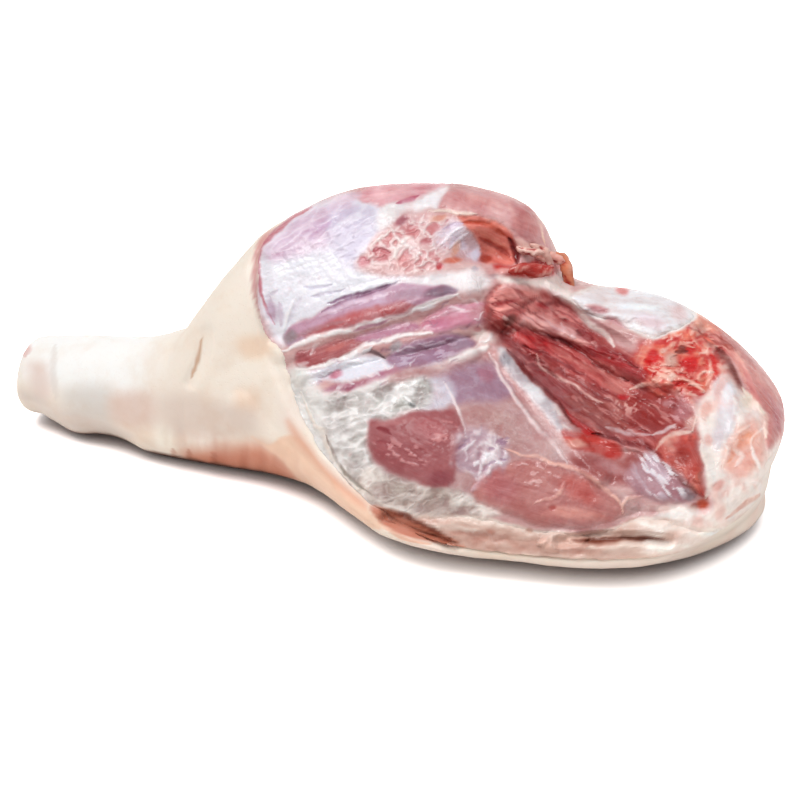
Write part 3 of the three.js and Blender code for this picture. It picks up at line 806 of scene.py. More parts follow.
class Layer:
    """Colour, rise in mm, fibre direction and traits (film, fibre, gloss) for each point of the face's
    grid."""

    def __init__(self, colour):
        self.tint = np.zeros(face.shape) + np.array(colour, float)
        self.rise = np.zeros(across.shape)
        self.cover = np.zeros(across.shape)
        self.traits = np.zeros(face.shape) + np.array(PLAIN_TRAITS)
        self.grain_turn = np.zeros(across.shape)
        self.laid = 0

    def area(self, outline, colour, soft=3.0, cover=1.0, puff=0.0, edge=9.0, grain=None, traits=None,
             patchy=0.0):
        """Lays a colour inside an outline and lets it puff up by a parabola over an edge of that many
        squares."""
        self.laid += 1
        depth = depth_in(warp_x, warp_y, outline, max(soft, 1) + 2)
        mask = cover * smooth(-soft, soft, depth)
        near = mask > 0
        if patchy:
            thin = cloud(warp_x[near] / PATCH_SIZE[0], warp_y[near] / PATCH_SIZE[1], 200 + self.laid)
            mask[near] = mask[near] * (1 - patchy * smooth(*PATCH_EDGE, thin))
        self.tint[near] = lay(self.tint[near], colour, mask[near])
        self.cover = np.maximum(self.cover, mask)
        self.rise = self.rise + puff * (1 - (1 - np.clip(depth / edge, 0, 1)) ** 2)
        if grain is not None:
            self.grain_turn = np.where(depth > 0, math.radians(grain), self.grain_turn)
        if traits is not None:
            self.traits = lay(self.traits, traits, mask)
        return depth

    def line(self, points, colour, half, cover=1.0, rise=0.0):
        """Lays a colour along a line, raised or cut in with a round profile. It thins out here and
        there."""
        ratio = along_line(warp_x, warp_y, points, half)
        near = ratio < LINE_REACH
        breaks = cloud(across[near] / LINE_BREAKS, down[near] / LINE_BREAKS, 29, 2)
        thin = 1 - BREAK_THINNING * smooth(*BREAK_LEVELS, breaks)
        mask = cover * thin * (1 - smooth(*LINE_FADE, ratio[near]))
        profile = np.clip(1 - (ratio[near] / LINE_PROFILE) ** 2, 0, 1) ** LINE_PROFILE
        self.tint[near] = lay(self.tint[near], colour, mask)
        self.rise[near] += rise * thin * profile

    def spot(self, x, y, reach_x, reach_y, turn, colour, cover=0.8, rise=0.0):
        """Lays a soft oval: full in its inner half and fading out past its reach."""
        c, s = math.cos(math.radians(turn)), math.sin(math.radians(turn))
        reach = SPOT_REACH * max(reach_x, reach_y)
        near = (np.abs(warp_x - x) < reach) & (np.abs(warp_y - y) < reach)
        right, below = warp_x[near] - x, warp_y[near] - y
        far = np.hypot((right * c - below * s) / reach_x, (right * s + below * c) / reach_y)
        mask = 1 - smooth(*SPOT_FADE, far)
        self.tint[near] = lay(self.tint[near], colour, cover * mask)
        self.rise[near] += rise * mask

    def paint(self, areas=(), lines=(), spots=()):
        """Lays areas given as (outline, colour, options), then lines and spots given as their arguments."""
        for outline, colour, options in areas:
            self.area(outline, colour, **options)
        for line in lines:
            self.line(*line)
        for spot in spots:
            self.spot(*spot)

    def shade(self, mask, value, dark, light, rise=0.0):
        """Grades a masked region between two colours by a value from 0 to 1, and lifts it with the
        value."""
        span = np.array(light, float) - np.array(dark, float)
        self.tint = lay(self.tint, np.array(dark, float) + span * value[..., None], mask)
        self.rise = self.rise + rise * mask * (value - SHADE_LEVEL)

    def strands(self, outline, count, colour, turn, length, half, cover, rise, seed):
        """Scatters wavy strands in an outline. Each starts at a drawn place, with a bearing near one
        angle."""
        draw = np.random.default_rng(seed)
        loop = rounded(outline, True)
        places = loop.min(0) + (loop.max(0) - loop.min(0)) * draw.random((count, 2))
        bearings = turn + draw.normal(0, STRAND_SPREAD, count)
        inside = inside_of(places[:, 0], places[:, 1], loop)
        for place, angle in zip(places[inside], bearings[inside]):
            heading = np.array((math.cos(math.radians(angle)), -math.sin(math.radians(angle))))
            aside = np.array((-heading[1], heading[0]))
            reach = length * draw.uniform(*STRAND_LENGTHS)
            steps = np.linspace(0, reach, STRAND_KNOTS)[:, None]
            sway = draw.normal(0, STRAND_SWAY * reach, STRAND_KNOTS)[:, None]
            points = place + steps * heading + sway * aside
            own_half = half * draw.uniform(*STRAND_WIDTHS)
            self.line(points, colour, own_half, cover * draw.uniform(*STRAND_COVERS), rise)

    def glints(self, outline, colour, turn, length, width, level, cover, rise, seed):
        """Lays irregular flecks of painted highlight in an outline, wherever a noise stretched along a
        bearing is above a level."""
        inside = within(outline, *GLINT_FADE)
        along, aside = bearing(turn)
        near = inside > 0
        fleck = cloud(along[near] / length, aside[near] / width, seed, 2)
        mask = inside[near] * smooth(level, level + GLINT_EDGE, fleck)
        self.tint[near] = lay(self.tint[near], colour, cover * mask)
        self.rise[near] += rise * mask


FILMY = (0.9, 0.1, 0.6)
SILVERY = (0.35, 0.15, 0.5)
FIBROUS = (0.15, 0.8, 0.45)
RAW = (0.05, 0.5, 0.7)
lean = Layer((212, 164, 162))
print("layers ready")

# %% [markdown]
# The dome of the thigh is wrapped in a silvery sheet. It turns pink over the crown, tears open in a web of
# fat strands, and at the right a cavity and a second, darker muscle show. The web could be drawn strand by
# strand, but cells around scattered seeds give it at once: the walls are strands of fat and the cells are
# islands of meat.

# %% The dome
SHEET = [(258, 300), (258, 262), (270, 238), (300, 212), (335, 197), (365, 199), (380, 206), (388, 224),
         (366, 250), (355, 268), (380, 274), (420, 276), (450, 276), (440, 284), (398, 286), (355, 300),
         (325, 312), (296, 326), (282, 345), (268, 330)]
DOME_PINK = [(266, 256), (278, 236), (300, 219), (322, 208), (342, 200), (354, 206), (350, 226), (332, 242),
             (306, 252), (282, 258)]
DOME_VEIL = [(330, 216), (352, 204), (372, 206), (380, 222), (366, 248), (354, 266), (338, 256), (330, 238)]
lean.area(SHEET, (244, 242, 250), soft=6, grain=17, traits=SILVERY)
DOME_TONES = [
    (DOME_PINK, (200, 160, 186), (234, 214, 228)),
    (DOME_VEIL, (206, 194, 216), (236, 230, 242)),
]
SHEET_TURN, SHEET_FOLD, SHEET_PATCH = 32, (24, 6), (20, 11)
along, aside = bearing(SHEET_TURN)
stretched = 0.6 * crests(along / SHEET_FOLD[0], aside / SHEET_FOLD[1], 301)
sheet_patch = cloud(along / SHEET_PATCH[0], aside / SHEET_PATCH[1], 305)
stretched = stretched + 0.4 * smooth(-0.4, 0.4, sheet_patch)
for outline, dark, light in DOME_TONES:
    lean.shade(0.9 * within(outline, -9, 7), stretched, dark, light, 0.4)
print("sheet laid")

# %% Creases of the sheet and the crown
CROWN = [(352, 196), (364, 189), (391, 180), (437, 180), (452, 184), (430, 195), (412, 203), (397, 208),
         (376, 205)]
DOME_FAT_STREAK = [(416, 199), (446, 187), (446, 197), (438, 207), (424, 211), (405, 213), (390, 226),
                   (378, 232), (382, 208)]
SHEET_LINES = [
    ([(274, 325), (262, 296), (259, 270), (260, 249), (271, 237), (283, 225), (299, 213), (311, 208)],
     (198, 112, 124), 2.4, 0.8, -0.4),
    ([(397, 204), (408, 200), (420, 195)], (186, 96, 120), 3.0, 0.8, -0.6),
    ([(366, 199), (384, 196), (400, 190)], (236, 184, 188), 2.4, 0.8, 0.3),
    ([(317, 232), (323, 227), (331, 221)], (198, 156, 186), 2.6, 0.7, -0.3),
    ([(304, 289), (316, 287), (332, 284)], (196, 188, 208), 1.8, 0.9, -0.5),
    ([(312, 296), (326, 293), (344, 289)], (204, 196, 214), 1.8, 0.8, -0.4),
    # A crease along the sheet's lower edge, darkened as painted shade under the dome's overhang.
    ([(327, 304), (343, 298), (359, 293), (379, 287), (400, 281)], (146, 106, 134), 2.2, 0.95, -0.9),
    ([(352, 292), (372, 285), (392, 279)], (246, 244, 250), 1.8, 0.8, 0.4),
    ([(265, 297), (271, 294), (278, 290)], (208, 194, 212), 1.8, 0.5, -0.2),
    # The next three lavender lines are painted shade between the sheet's radiating folds.
    ([(280, 326), (281, 314), (279, 302)], (186, 156, 180), 3.4, 0.4, -0.3),
    ([(288, 322), (294, 310), (302, 298)], (208, 190, 208), 3.0, 0.35, -0.2),
    ([(274, 320), (272, 308), (271, 296)], (204, 176, 194), 3.4, 0.35, -0.2),
    ([(283, 330), (288, 314), (295, 298)], (250, 247, 251), 2.0, 0.95, 0.7),
]
SHEET_SPOTS = [
    (388, 193, 15, 4, 14, (238, 176, 180), 0.8), (425, 187, 14, 3, 6, (210, 136, 144), 0.7),
    (350, 198, 14, 5, 16, (226, 200, 214), 0.8), (390, 213, 9, 7, 30, (245, 238, 238), 0.9, 0.4),
    (432, 202, 12, 5, 10, (242, 238, 242), 0.9, 0.4), (272, 311, 6, 13, 10, (190, 160, 184), 0.6),
]
lean.paint([
    (CROWN, (231, 168, 175), dict(grain=8, traits=(0.3, 0.5, 0.5), puff=1.2, edge=6, patchy=0.3)),
    (DOME_FAT_STREAK, (244, 237, 239), dict(soft=4, patchy=0.2)),
], SHEET_LINES, SHEET_SPOTS)
print("sheet painted")

# %% The web
WEB = [(356, 264), (361, 256), (369, 245), (378, 234), (394, 221), (408, 213), (428, 212), (446, 214),
       (458, 226), (456, 244), (450, 264), (430, 274), (409, 276), (390, 271), (370, 270)]
WEB_CELL, WEB_SWAY, WEB_SWAY_SIZE = (16, 11), 0.91, 11
WEB_MEAT, WEB_FAT = (200, 114, 117), (250, 236, 233)
WALL_EDGE, ISLAND_EDGE, MEATY_CELLS, WEB_EDGE = (0.03, 0.24), (0.1, 0.45), (0.3, 0.7), (0, 6)


def cells(x, y, seed):
    """For seeds scattered one a square: how much further the second nearest is than the nearest, and the
    nearest one's own number from 0 to 1."""
    column, row = np.floor(x), np.floor(y)
    first = np.full(np.shape(x), 9.0)
    second = first.copy()
    own = np.zeros(np.shape(x))
    for a in (-1, 0, 1):
        for b in (-1, 0, 1):
            i, j = (column + a).astype(np.int64), (row + b).astype(np.int64)
            level = np.zeros_like(i)
            seed_x = column + a + scatter(i, j, level, seed)
            seed_y = row + b + scatter(i, j, level, seed + 5)
            far = np.hypot(x - seed_x, y - seed_y)
            second = np.minimum(second, np.maximum(first, far))
            own = np.where(far < first, scatter(i, j, level, seed + 9), own)
            first = np.minimum(first, far)
    return second - first, own


web_depth = lean.area(WEB, (230, 190, 189), soft=4, traits=(0.3, 0.2, 0.6), patchy=0.2)
web_sway = WEB_SWAY * cloud(across / WEB_SWAY_SIZE, down / WEB_SWAY_SIZE, 71)
web_gap, web_own = cells(warp_x / WEB_CELL[0] + web_sway, warp_y / WEB_CELL[1] - web_sway, 12)
in_web = smooth(*WEB_EDGE, web_depth)
web_wall = (1 - smooth(*WALL_EDGE, web_gap)) * in_web
island = smooth(*ISLAND_EDGE, web_gap) * smooth(*MEATY_CELLS, web_own) * in_web
lean.tint = lay(lean.tint, WEB_MEAT, 0.8 * island)
lean.tint = lay(lean.tint, WEB_FAT, 0.4 * web_wall)
lean.rise = lean.rise + 0.3 * web_wall - 0.5 * island
WEB_LINES = [
    ([(373, 252), (381, 250), (390, 252)], (156, 30, 42), 2.4, 0.95, -0.9),
    ([(369, 264), (384, 262), (398, 250), (406, 240), (420, 230)], (250, 236, 232), 2.2, 0.7, 0.4),
    ([(390, 226), (398, 238), (414, 250), (430, 258)], (250, 238, 236), 2.0, 0.7, 0.4),
    ([(372, 246), (380, 238), (392, 230)], (250, 236, 232), 2.0, 0.7, 0.4),
    ([(424, 214), (420, 226), (430, 236), (436, 250)], (250, 238, 236), 2.0, 0.7, 0.4),
    ([(394, 246), (396, 256), (398, 270)], (250, 236, 232), 1.8, 0.7, 0.4),
]
WEB_SPOTS = [
    (382, 255, 9, 7, 10, (204, 116, 120), 0.8, -0.5), (411, 231, 8, 6, 0, (206, 124, 126), 0.8, -0.5),
    (402, 220, 8, 4, 30, (160, 82, 94), 0.9, -0.6), (426, 242, 7, 5, 0, (178, 92, 98), 0.85, -0.6),
    (404, 261, 9, 6, 0, (214, 132, 132), 0.8, -0.5), (364, 263, 6, 6, 30, (206, 118, 128), 0.85, -0.5),
    (438, 218, 9, 3.5, 20, (220, 146, 120), 0.6), (440, 267, 4, 4, 0, (186, 58, 64), 0.9, -0.6),
]
lean.paint(lines=WEB_LINES, spots=WEB_SPOTS)
lean.strands(WEB, 9, (252, 240, 236), turn=40, length=15, half=1.6, cover=0.6, rise=0.2, seed=311)
print("web painted")

# %% The cavity and the outer dome
# Painted shade: a dark red for the cavity's deep right edge.
DEEP_RED_SHADE = (104, 18, 20)
CAVITY = [(458, 216), (475, 215), (491, 220), (507, 228), (514, 240), (520, 256), (512, 264), (495, 264),
          (482, 260), (480, 246), (472, 232)]
OUTER_DOME = [(437, 205), (451, 191), (465, 187), (491, 191), (510, 198), (528, 206), (541, 219),
              (549, 235), (550, 252), (540, 250), (527, 240), (515, 231), (504, 225), (491, 219),
              (473, 214), (460, 212), (445, 208)]
CAVITY_FILM = [(434, 240), (448, 221), (462, 224), (474, 238), (482, 250), (480, 260), (466, 258),
               (452, 250), (440, 250)]
NOTCH_MEAT = [(494, 266), (512, 265), (528, 262), (538, 257), (549, 254), (560, 257), (564, 264),
              (556, 271), (545, 277), (512, 278)]
CAVITY_LINES = [
    ([(440, 246), (452, 232), (462, 226)], (246, 238, 246), 2.0, 0.8, 0.6),
    ([(448, 250), (460, 238), (468, 232)], (244, 236, 246), 1.8, 0.8, 0.6),
    ([(442, 230), (452, 224), (462, 222)], (196, 168, 196), 1.8, 0.8, -0.4),
    ([(462, 221), (480, 222), (496, 229), (510, 240)], (182, 72, 54), 2.6, 0.85, -1),
    ([(472, 228), (488, 236), (506, 248)], (212, 124, 106), 2.8, 0.7, 0.7),
    ([(480, 238), (494, 246), (510, 256)], (166, 64, 54), 2.4, 0.8, -1),
    ([(482, 248), (496, 254), (512, 260)], (202, 106, 90), 2.2, 0.7, 0.6),
    # The cavity's deep right edge: a dent darkened with dark red as painted shade.
    ([(508, 238), (514, 246), (518, 256), (518, 263)], DEEP_RED_SHADE, 3.6, 0.9, -2),
    ([(428, 212), (444, 209), (460, 213), (476, 214)], (246, 224, 212), 2.4, 0.85, 1.0),
    ([(507, 199), (513, 212), (517, 226)], (232, 182, 176), 2.2, 0.85, 0.5),
    ([(533, 213), (541, 226), (545, 243)], (246, 208, 180), 1.8, 0.85, 0.4),
]
CAVITY_SPOTS = [
    (455, 249, 4, 9, -20, (226, 158, 128), 0.65), (452, 261, 10, 3, 12, (206, 92, 66), 0.75),
    # (486, 258) is painted shadow along the cavity's bottom edge.
    (475, 254, 5, 5, 0, (212, 208, 228), 0.8, 0.5), (486, 258, 8, 4, 0, (156, 60, 50), 0.8),
    (528, 221, 15, 15, -35, (192, 122, 120), 0.8), (480, 201, 24, 7, -14, (216, 152, 148), 0.7),
    (524, 246, 12, 6, -30, (240, 196, 186), 0.9, 1.0), (538, 253, 9, 4, -10, (236, 180, 168), 0.85, 0.8),
    (545, 262, 6, 4, 0, (160, 24, 28), 0.85), (506, 271, 9, 4, 0, (232, 190, 184), 0.7, 0.6),
    (528, 270, 9, 4, 8, (206, 92, 84), 0.7), (474, 270, 12, 6, 0, (226, 206, 206), 0.8),
    (476, 269, 4, 3, 0, (178, 160, 172), 0.8, -0.6), (495, 277, 5, 3, 0, (188, 160, 164), 0.8, -0.6),
]
lean.paint([
    (CAVITY_FILM, (214, 196, 214), dict(soft=6, cover=0.9, traits=FILMY, patchy=0.5)),
    (CAVITY, (224, 128, 116), dict(soft=2.5, puff=-3, edge=8, grain=-30, traits=RAW)),
    (OUTER_DOME, (214, 157, 157), dict(soft=2.5, puff=2.5, edge=8, grain=-22, traits=(0.25, 0.5, 0.4))),
    (NOTCH_MEAT, (184, 58, 56), dict(puff=1.5, edge=5, traits=RAW, patchy=0.2)),
], CAVITY_LINES, CAVITY_SPOTS)
print("dome painted")

# %% [markdown]
# Below the dome three long muscles lie side by side, mauve where the membrane still covers them and brick
# red where it is torn. White fat fills the grooves between them, so it is painted as soft bands with hardly
# any rise.

# %% The bands
UPPER_BAND = [(283, 338), (288, 328), (311, 317), (335, 304), (365, 293), (397, 284), (426, 286),
              (456, 288), (452, 296), (420, 307), (392, 317), (354, 326), (320, 333), (299, 342),
              (288, 346)]
BAND_TOP_FAT = [(396, 283), (424, 276), (452, 272), (480, 272), (492, 282), (470, 292), (440, 290)]
UPPER_BAND_RED = [(306, 337), (322, 324), (345, 314), (372, 307), (396, 303), (408, 304), (414, 308),
                  (392, 317), (354, 326), (320, 334)]
LEFT_WEDGE = [(297, 366), (297, 354), (313, 349), (334, 342), (352, 339), (362, 342), (350, 353),
              (328, 361), (306, 368)]
MIDDLE_BAND_LEFT = [(354, 339), (372, 331), (396, 325), (414, 322), (420, 328), (405, 333), (384, 338),
                    (366, 343)]
MIDDLE_BAND_RIGHT = [(420, 326), (431, 314), (453, 305), (482, 302), (494, 310), (486, 322), (461, 327),
                     (443, 333), (428, 332)]
BAND_FILM = [(300, 374), (318, 368), (340, 360), (361, 356), (381, 357), (393, 363), (384, 372), (364, 377),
             (340, 382), (323, 381), (304, 388)]
LOW_SLIVER = [(322, 391), (340, 384), (361, 380), (380, 372), (406, 363), (404, 371), (386, 380),
              (364, 387), (346, 392)]
LOWER_BAND = [(386, 358), (402, 346), (424, 338), (453, 333), (474, 340), (470, 350), (446, 361),
              (428, 368), (408, 370), (394, 366)]
lean.paint([
    (BAND_TOP_FAT, (246, 239, 240), dict(soft=5, traits=FILMY, patchy=0.15)),
    (UPPER_BAND, (196, 154, 174), dict(soft=2.2, puff=2.5, edge=9, grain=16, traits=SILVERY)),
    (UPPER_BAND_RED, (188, 96, 98), dict(soft=4, cover=0.95)),
    (LEFT_WEDGE, (174, 98, 100), dict(soft=2.2, puff=2, edge=7, grain=20, traits=FIBROUS)),
    (MIDDLE_BAND_LEFT, (190, 134, 154), dict(grain=16, traits=SILVERY, puff=1, edge=5)),
    (MIDDLE_BAND_RIGHT, (202, 132, 150), dict(puff=2, edge=8, grain=14, traits=SILVERY)),
    (BAND_FILM, (236, 234, 244), dict(soft=4, puff=1.5, edge=6, traits=FILMY)),
    (LOW_SLIVER, (174, 108, 130), dict(soft=2.2, grain=18, traits=SILVERY, patchy=0.3)),
    (LOWER_BAND, (160, 120, 142), dict(puff=2, edge=9, grain=16, traits=SILVERY)),
])
print("bands laid")

# %% Grooves, strands, painted shade and shine on the bands
BAND_LINES = [
    ([(286, 340), (304, 334), (322, 326), (345, 320)], (168, 116, 122), 3.0, 0.6),
    ([(320, 316), (345, 306), (372, 297), (396, 291)], (218, 186, 204), 2.6, 0.7, 0.4),
    # Painted shade: a dark line along the upper band's top edge, under the dome's overhang.
    ([(322, 312), (345, 301), (366, 293), (396, 283)], (140, 96, 122), 2.0, 0.9, -1.0),
    ([(282, 350), (299, 345), (320, 337), (354, 328), (393, 318), (420, 308), (440, 300), (458, 294)],
     (252, 246, 245), 3.8, 0.95, 0.9),
    ([(300, 371), (330, 363), (352, 355), (364, 346), (384, 341), (411, 334), (432, 333)],
     (252, 245, 244), 3.4, 0.95, 0.9),
    ([(346, 396), (364, 390), (394, 382), (417, 376), (446, 367), (474, 354), (488, 346)],
     (254, 248, 246), 8.0, 0.95, 1.0),
    # Painted shadow in the gap beneath a white ragged fold.
    ([(362, 355), (368, 352), (376, 354), (385, 358)], (112, 86, 90), 2.4, 0.8, -1.0),
    ([(336, 366), (352, 358), (364, 352), (372, 348)], (248, 244, 246), 2.4, 0.9, 0.8),
    ([(394, 346), (404, 352), (418, 354)], (232, 220, 232), 1.6, 0.5, 0.3),
    ([(416, 344), (430, 346), (446, 342)], (214, 196, 212), 1.6, 0.5, 0.3),
    ([(430, 318), (452, 312), (474, 310)], (240, 216, 222), 1.8, 0.7, 0.5),
    ([(352, 331), (372, 325), (392, 320)], (176, 112, 134), 2.0, 0.7, -0.5),
]
BAND_SPOTS = [
    # (440, 292) darkens the upper band's right end as painted shade under the dome.
    (290, 336, 8, 7, 30, (146, 130, 134), 0.85), (440, 292, 18, 5, 10, (132, 106, 122), 0.9),
    (410, 294, 16, 5, 10, (172, 138, 156), 0.7), (336, 308, 20, 3, 26, (216, 188, 206), 0.6),
    (304, 358, 7, 6, 20, (160, 74, 78), 0.8), (336, 347, 14, 3, 18, (206, 122, 116), 0.7),
    (482, 312, 14, 8, 10, (176, 112, 120), 0.8), (440, 324, 12, 6, 14, (190, 116, 140), 0.7),
    (336, 375, 8, 4, 18, (204, 120, 140), 0.8), (460, 344, 12, 6, 14, (162, 142, 158), 0.8),
    # (377, 320) and (428, 308) are painted highlights on the wet fat line.
    (396, 346, 7, 5, 20, (180, 174, 180), 0.8, -0.8), (377, 320, 6, 2.5, 15, (252, 250, 252), 0.9, 0.5),
    (428, 308, 10, 2.5, 18, (252, 250, 252), 0.9, 0.5), (352, 365, 14, 4, 14, (246, 246, 252), 0.8, 0.6),
    (484, 336, 13, 10, -40, (238, 220, 214), 0.9, 0.6), (478, 328, 5, 3, 0, (196, 130, 132), 0.8, -0.6),
    (492, 346, 5, 3, -40, (214, 168, 168), 0.7, -0.4),
]
lean.paint(lines=BAND_LINES, spots=BAND_SPOTS)
GROOVE_FAT = [(284, 352), (330, 340), (390, 322), (440, 304), (470, 290), (490, 330), (490, 350),
              (440, 374), (360, 396), (318, 396), (298, 374)]
lean.strands(GROOVE_FAT, 44, (247, 241, 243), turn=18, length=18, half=1.5, cover=0.75, rise=0.5, seed=12)
lean.strands(GROOVE_FAT, 26, (164, 122, 140), turn=18, length=14, half=1.4, cover=0.6, rise=-0.4, seed=14)
LOWER_BAND_SHINE = [(392, 352), (424, 338), (470, 340), (446, 361), (408, 372)]
lean.glints(LOWER_BAND_SHINE, (228, 212, 228), turn=10, length=12, width=3, level=0.16, cover=0.45,
            rise=0.3, seed=15)
print("bands painted")

# %% [markdown]
# The inside round is the big soft muscle at the front. A silvery film covers most of it, a red window shows
# where the film is gone, and a light pink ridge runs down its right side. Left of it and below it the fat
# is a crumpled, half clear film: its folds are sharp crests with grey hollows between them, the crests
# partly painted highlight and the hollows partly painted shade.

# %% The inside round
ROUND = [(398, 372), (446, 366), (480, 356), (500, 372), (530, 405), (558, 442), (570, 470), (612, 494),
         (640, 505), (622, 518), (580, 528), (539, 526), (500, 512), (470, 500), (420, 495), (380, 478),
         (366, 445), (372, 420)]
FROTH = [(286, 380), (304, 368), (306, 388), (322, 392), (347, 393), (372, 391), (395, 383), (426, 377),
         (432, 392), (428, 406), (405, 412), (386, 419), (372, 422), (367, 440), (371, 458), (386, 472),
         (404, 481), (425, 489), (450, 490), (474, 499), (440, 512), (400, 512), (362, 502), (338, 480),
         (312, 450), (294, 412)]
FROTH_FOOT = [(366, 468), (388, 474), (425, 488), (452, 488), (474, 500), (500, 514), (470, 522),
              (420, 518), (384, 508), (356, 492)]
WHITE_EDGE = [(286, 372), (300, 366), (312, 376), (322, 398), (322, 424), (332, 450), (326, 462),
              (308, 440), (294, 408)]
RED_WINDOW = [(369, 421), (386, 421), (403, 416), (418, 412), (440, 410), (455, 410), (462, 422),
              (466, 438), (461, 453), (457, 470), (450, 485), (433, 487), (413, 480), (390, 471),
              (375, 459), (369, 444)]
LOWER_ROUND = [(472, 492), (488, 472), (512, 462), (533, 460), (552, 464), (568, 470), (593, 479),
               (612, 495), (624, 511), (609, 523), (577, 527), (539, 525), (507, 512), (482, 503)]
STRIP = [(498, 350), (508, 350), (530, 377), (552, 403), (570, 424), (574, 436), (562, 434), (545, 414),
         (524, 389), (506, 368)]
ROUND_MAUVE = [(440, 378), (462, 366), (486, 362), (498, 372), (512, 392), (498, 402), (470, 402),
               (452, 402)]
ROUND_FILM = [(414, 384), (432, 376), (448, 378), (454, 396), (444, 408), (420, 408)]
lean.paint([
    (ROUND, (190, 146, 145), dict(soft=6, puff=2, edge=14, grain=-20, traits=(0.3, 0.2, 0.35))),
    (ROUND_MAUVE, (168, 134, 152), dict(soft=6, traits=(0.3, 0.2, 0.35))),
    (ROUND_FILM, (206, 198, 210), dict(soft=6, traits=FILMY, patchy=0.3)),
])
# Painted light and shade on the froth: its folds are graded from grey in the hollows, partly the film's own
# and partly painted shade, to white on the crests, partly painted highlight.
FROTH_SHADE_AND_LIGHT = [
    (FROTH, (160, 152, 147), (254, 252, 250)),
    (FROTH_FOOT, (176, 152, 144), (248, 238, 231)),
]
FATTY = (0.3, 0.0, 0.6)
FOLD_TURN, FOLD_DEPTH = 10, 0.12
FOLDS = [(0.42, 30, 12, 91), (0.34, 12, 7, 93), (0.14, 8, 4, 97)]
HOLLOW_SHARE, HOLLOW_SIZE, HOLLOW_EDGE = 0.6, (22, 13), (-0.4, 0.3)
along, aside = bearing(FOLD_TURN)
folds = sum(share * crests(along / length, aside / width, seed) for share, length, width, seed in FOLDS)
hollow = smooth(*HOLLOW_EDGE, cloud(along / HOLLOW_SIZE[0], aside / HOLLOW_SIZE[1], 95))
folds = np.clip(folds + HOLLOW_SHARE * hollow - FOLD_DEPTH, 0, 1)
for outline, dark, light in FROTH_SHADE_AND_LIGHT:
    frothy = within(outline, -5, 5)
    lean.shade(0.95 * frothy, folds, dark, light, 1.2)
    lean.traits = lay(lean.traits, FATTY, frothy)
lean.paint([
    (WHITE_EDGE, (238, 235, 231), dict(soft=6, cover=0.85, patchy=0.2)),
    (RED_WINDOW, (166, 98, 101), dict(soft=3, puff=1.2, edge=12, grain=-26, traits=(0.04, 0.25, 0.2))),
    (LOWER_ROUND, (191, 124, 120), dict(soft=5, grain=-15, traits=(0.15, 0.4, 0.35))),
    (STRIP, (220, 213, 217), dict(soft=4, puff=1, edge=6, traits=(0.4, 0.1, 0.6))),
])
# The strip gets the same folds: grey hollows partly painted shade, white crests partly painted highlight.
lean.shade(0.6 * within(STRIP, -4, 3), folds, (178, 160, 166), (246, 242, 243), 0.8)
print("round laid")

# %% Strands, shine and the knot on the round
ROUND_LINES = [
    ([(300, 392), (314, 424), (323, 432), (331, 455), (346, 475), (363, 492), (382, 504), (410, 514)],
     (242, 230, 219), 2.8, 0.95, 1.0),
    ([(326, 434), (338, 462), (352, 479), (372, 495)], (150, 138, 128), 2.0, 0.8, -0.9),
    ([(443, 382), (453, 398), (459, 411), (464, 423), (467, 437)], (244, 228, 228), 1.5, 0.75, 0.4),
    ([(488, 354), (495, 365), (508, 388), (527, 413), (541, 431), (556, 447), (567, 464)],
     (238, 214, 214), 2.4, 0.95, 0.9),
    ([(503, 447), (526, 457), (540, 457), (552, 464), (581, 471), (605, 489), (620, 504), (623, 513)],
     (246, 190, 176), 2.4, 0.95, 0.9),
    ([(620, 509), (626, 499), (643, 496)], (246, 196, 184), 2.2, 0.9, 0.8),
    ([(534, 503), (556, 496), (566, 482)], (236, 176, 164), 2.2, 0.7, 0.5),
    ([(376, 428), (384, 430), (392, 435)], (134, 54, 60), 2.6, 0.85, -0.8),
    ([(378, 441), (386, 444), (396, 446)], (150, 72, 78), 2.2, 0.7, -0.5),
    ([(470, 490), (480, 484), (490, 470)], (226, 192, 204), 2.4, 0.7, 0.5),
    ([(404, 396), (412, 401), (420, 410)], (248, 246, 246), 2.0, 0.9, 0.6),
]
ROUND_SPOTS = [
    (413, 404, 5, 3, -30, (96, 90, 88), 0.85, -0.8), (486, 374, 11, 8, -30, (174, 108, 124), 0.6),
    (496, 426, 30, 16, -40, (182, 136, 133), 0.8), (428, 428, 18, 10, 0, (186, 96, 100), 0.5),
    (440, 478, 14, 8, 0, (150, 82, 90), 0.6), (381, 454, 8, 12, -30, (162, 84, 88), 0.5),
    (396, 422, 22, 4, 6, (196, 134, 134), 0.5), (498, 486, 24, 16, -30, (192, 118, 120), 0.75),
    (580, 490, 22, 11, -28, (198, 104, 98), 0.85, -1.0), (576, 514, 34, 7, -6, (222, 150, 140), 0.8),
    (552, 508, 4, 3, 0, (180, 84, 80), 0.8, -0.5), (505, 359, 6, 9, -40, (156, 148, 156), 0.8),
    (536, 392, 10, 6, -45, (240, 238, 241), 0.7), (566, 418, 8, 12, 35, (226, 176, 172), 0.7),
    (542, 444, 12, 16, 40, (206, 164, 162), 0.6),
]
lean.paint(lines=ROUND_LINES, spots=ROUND_SPOTS)
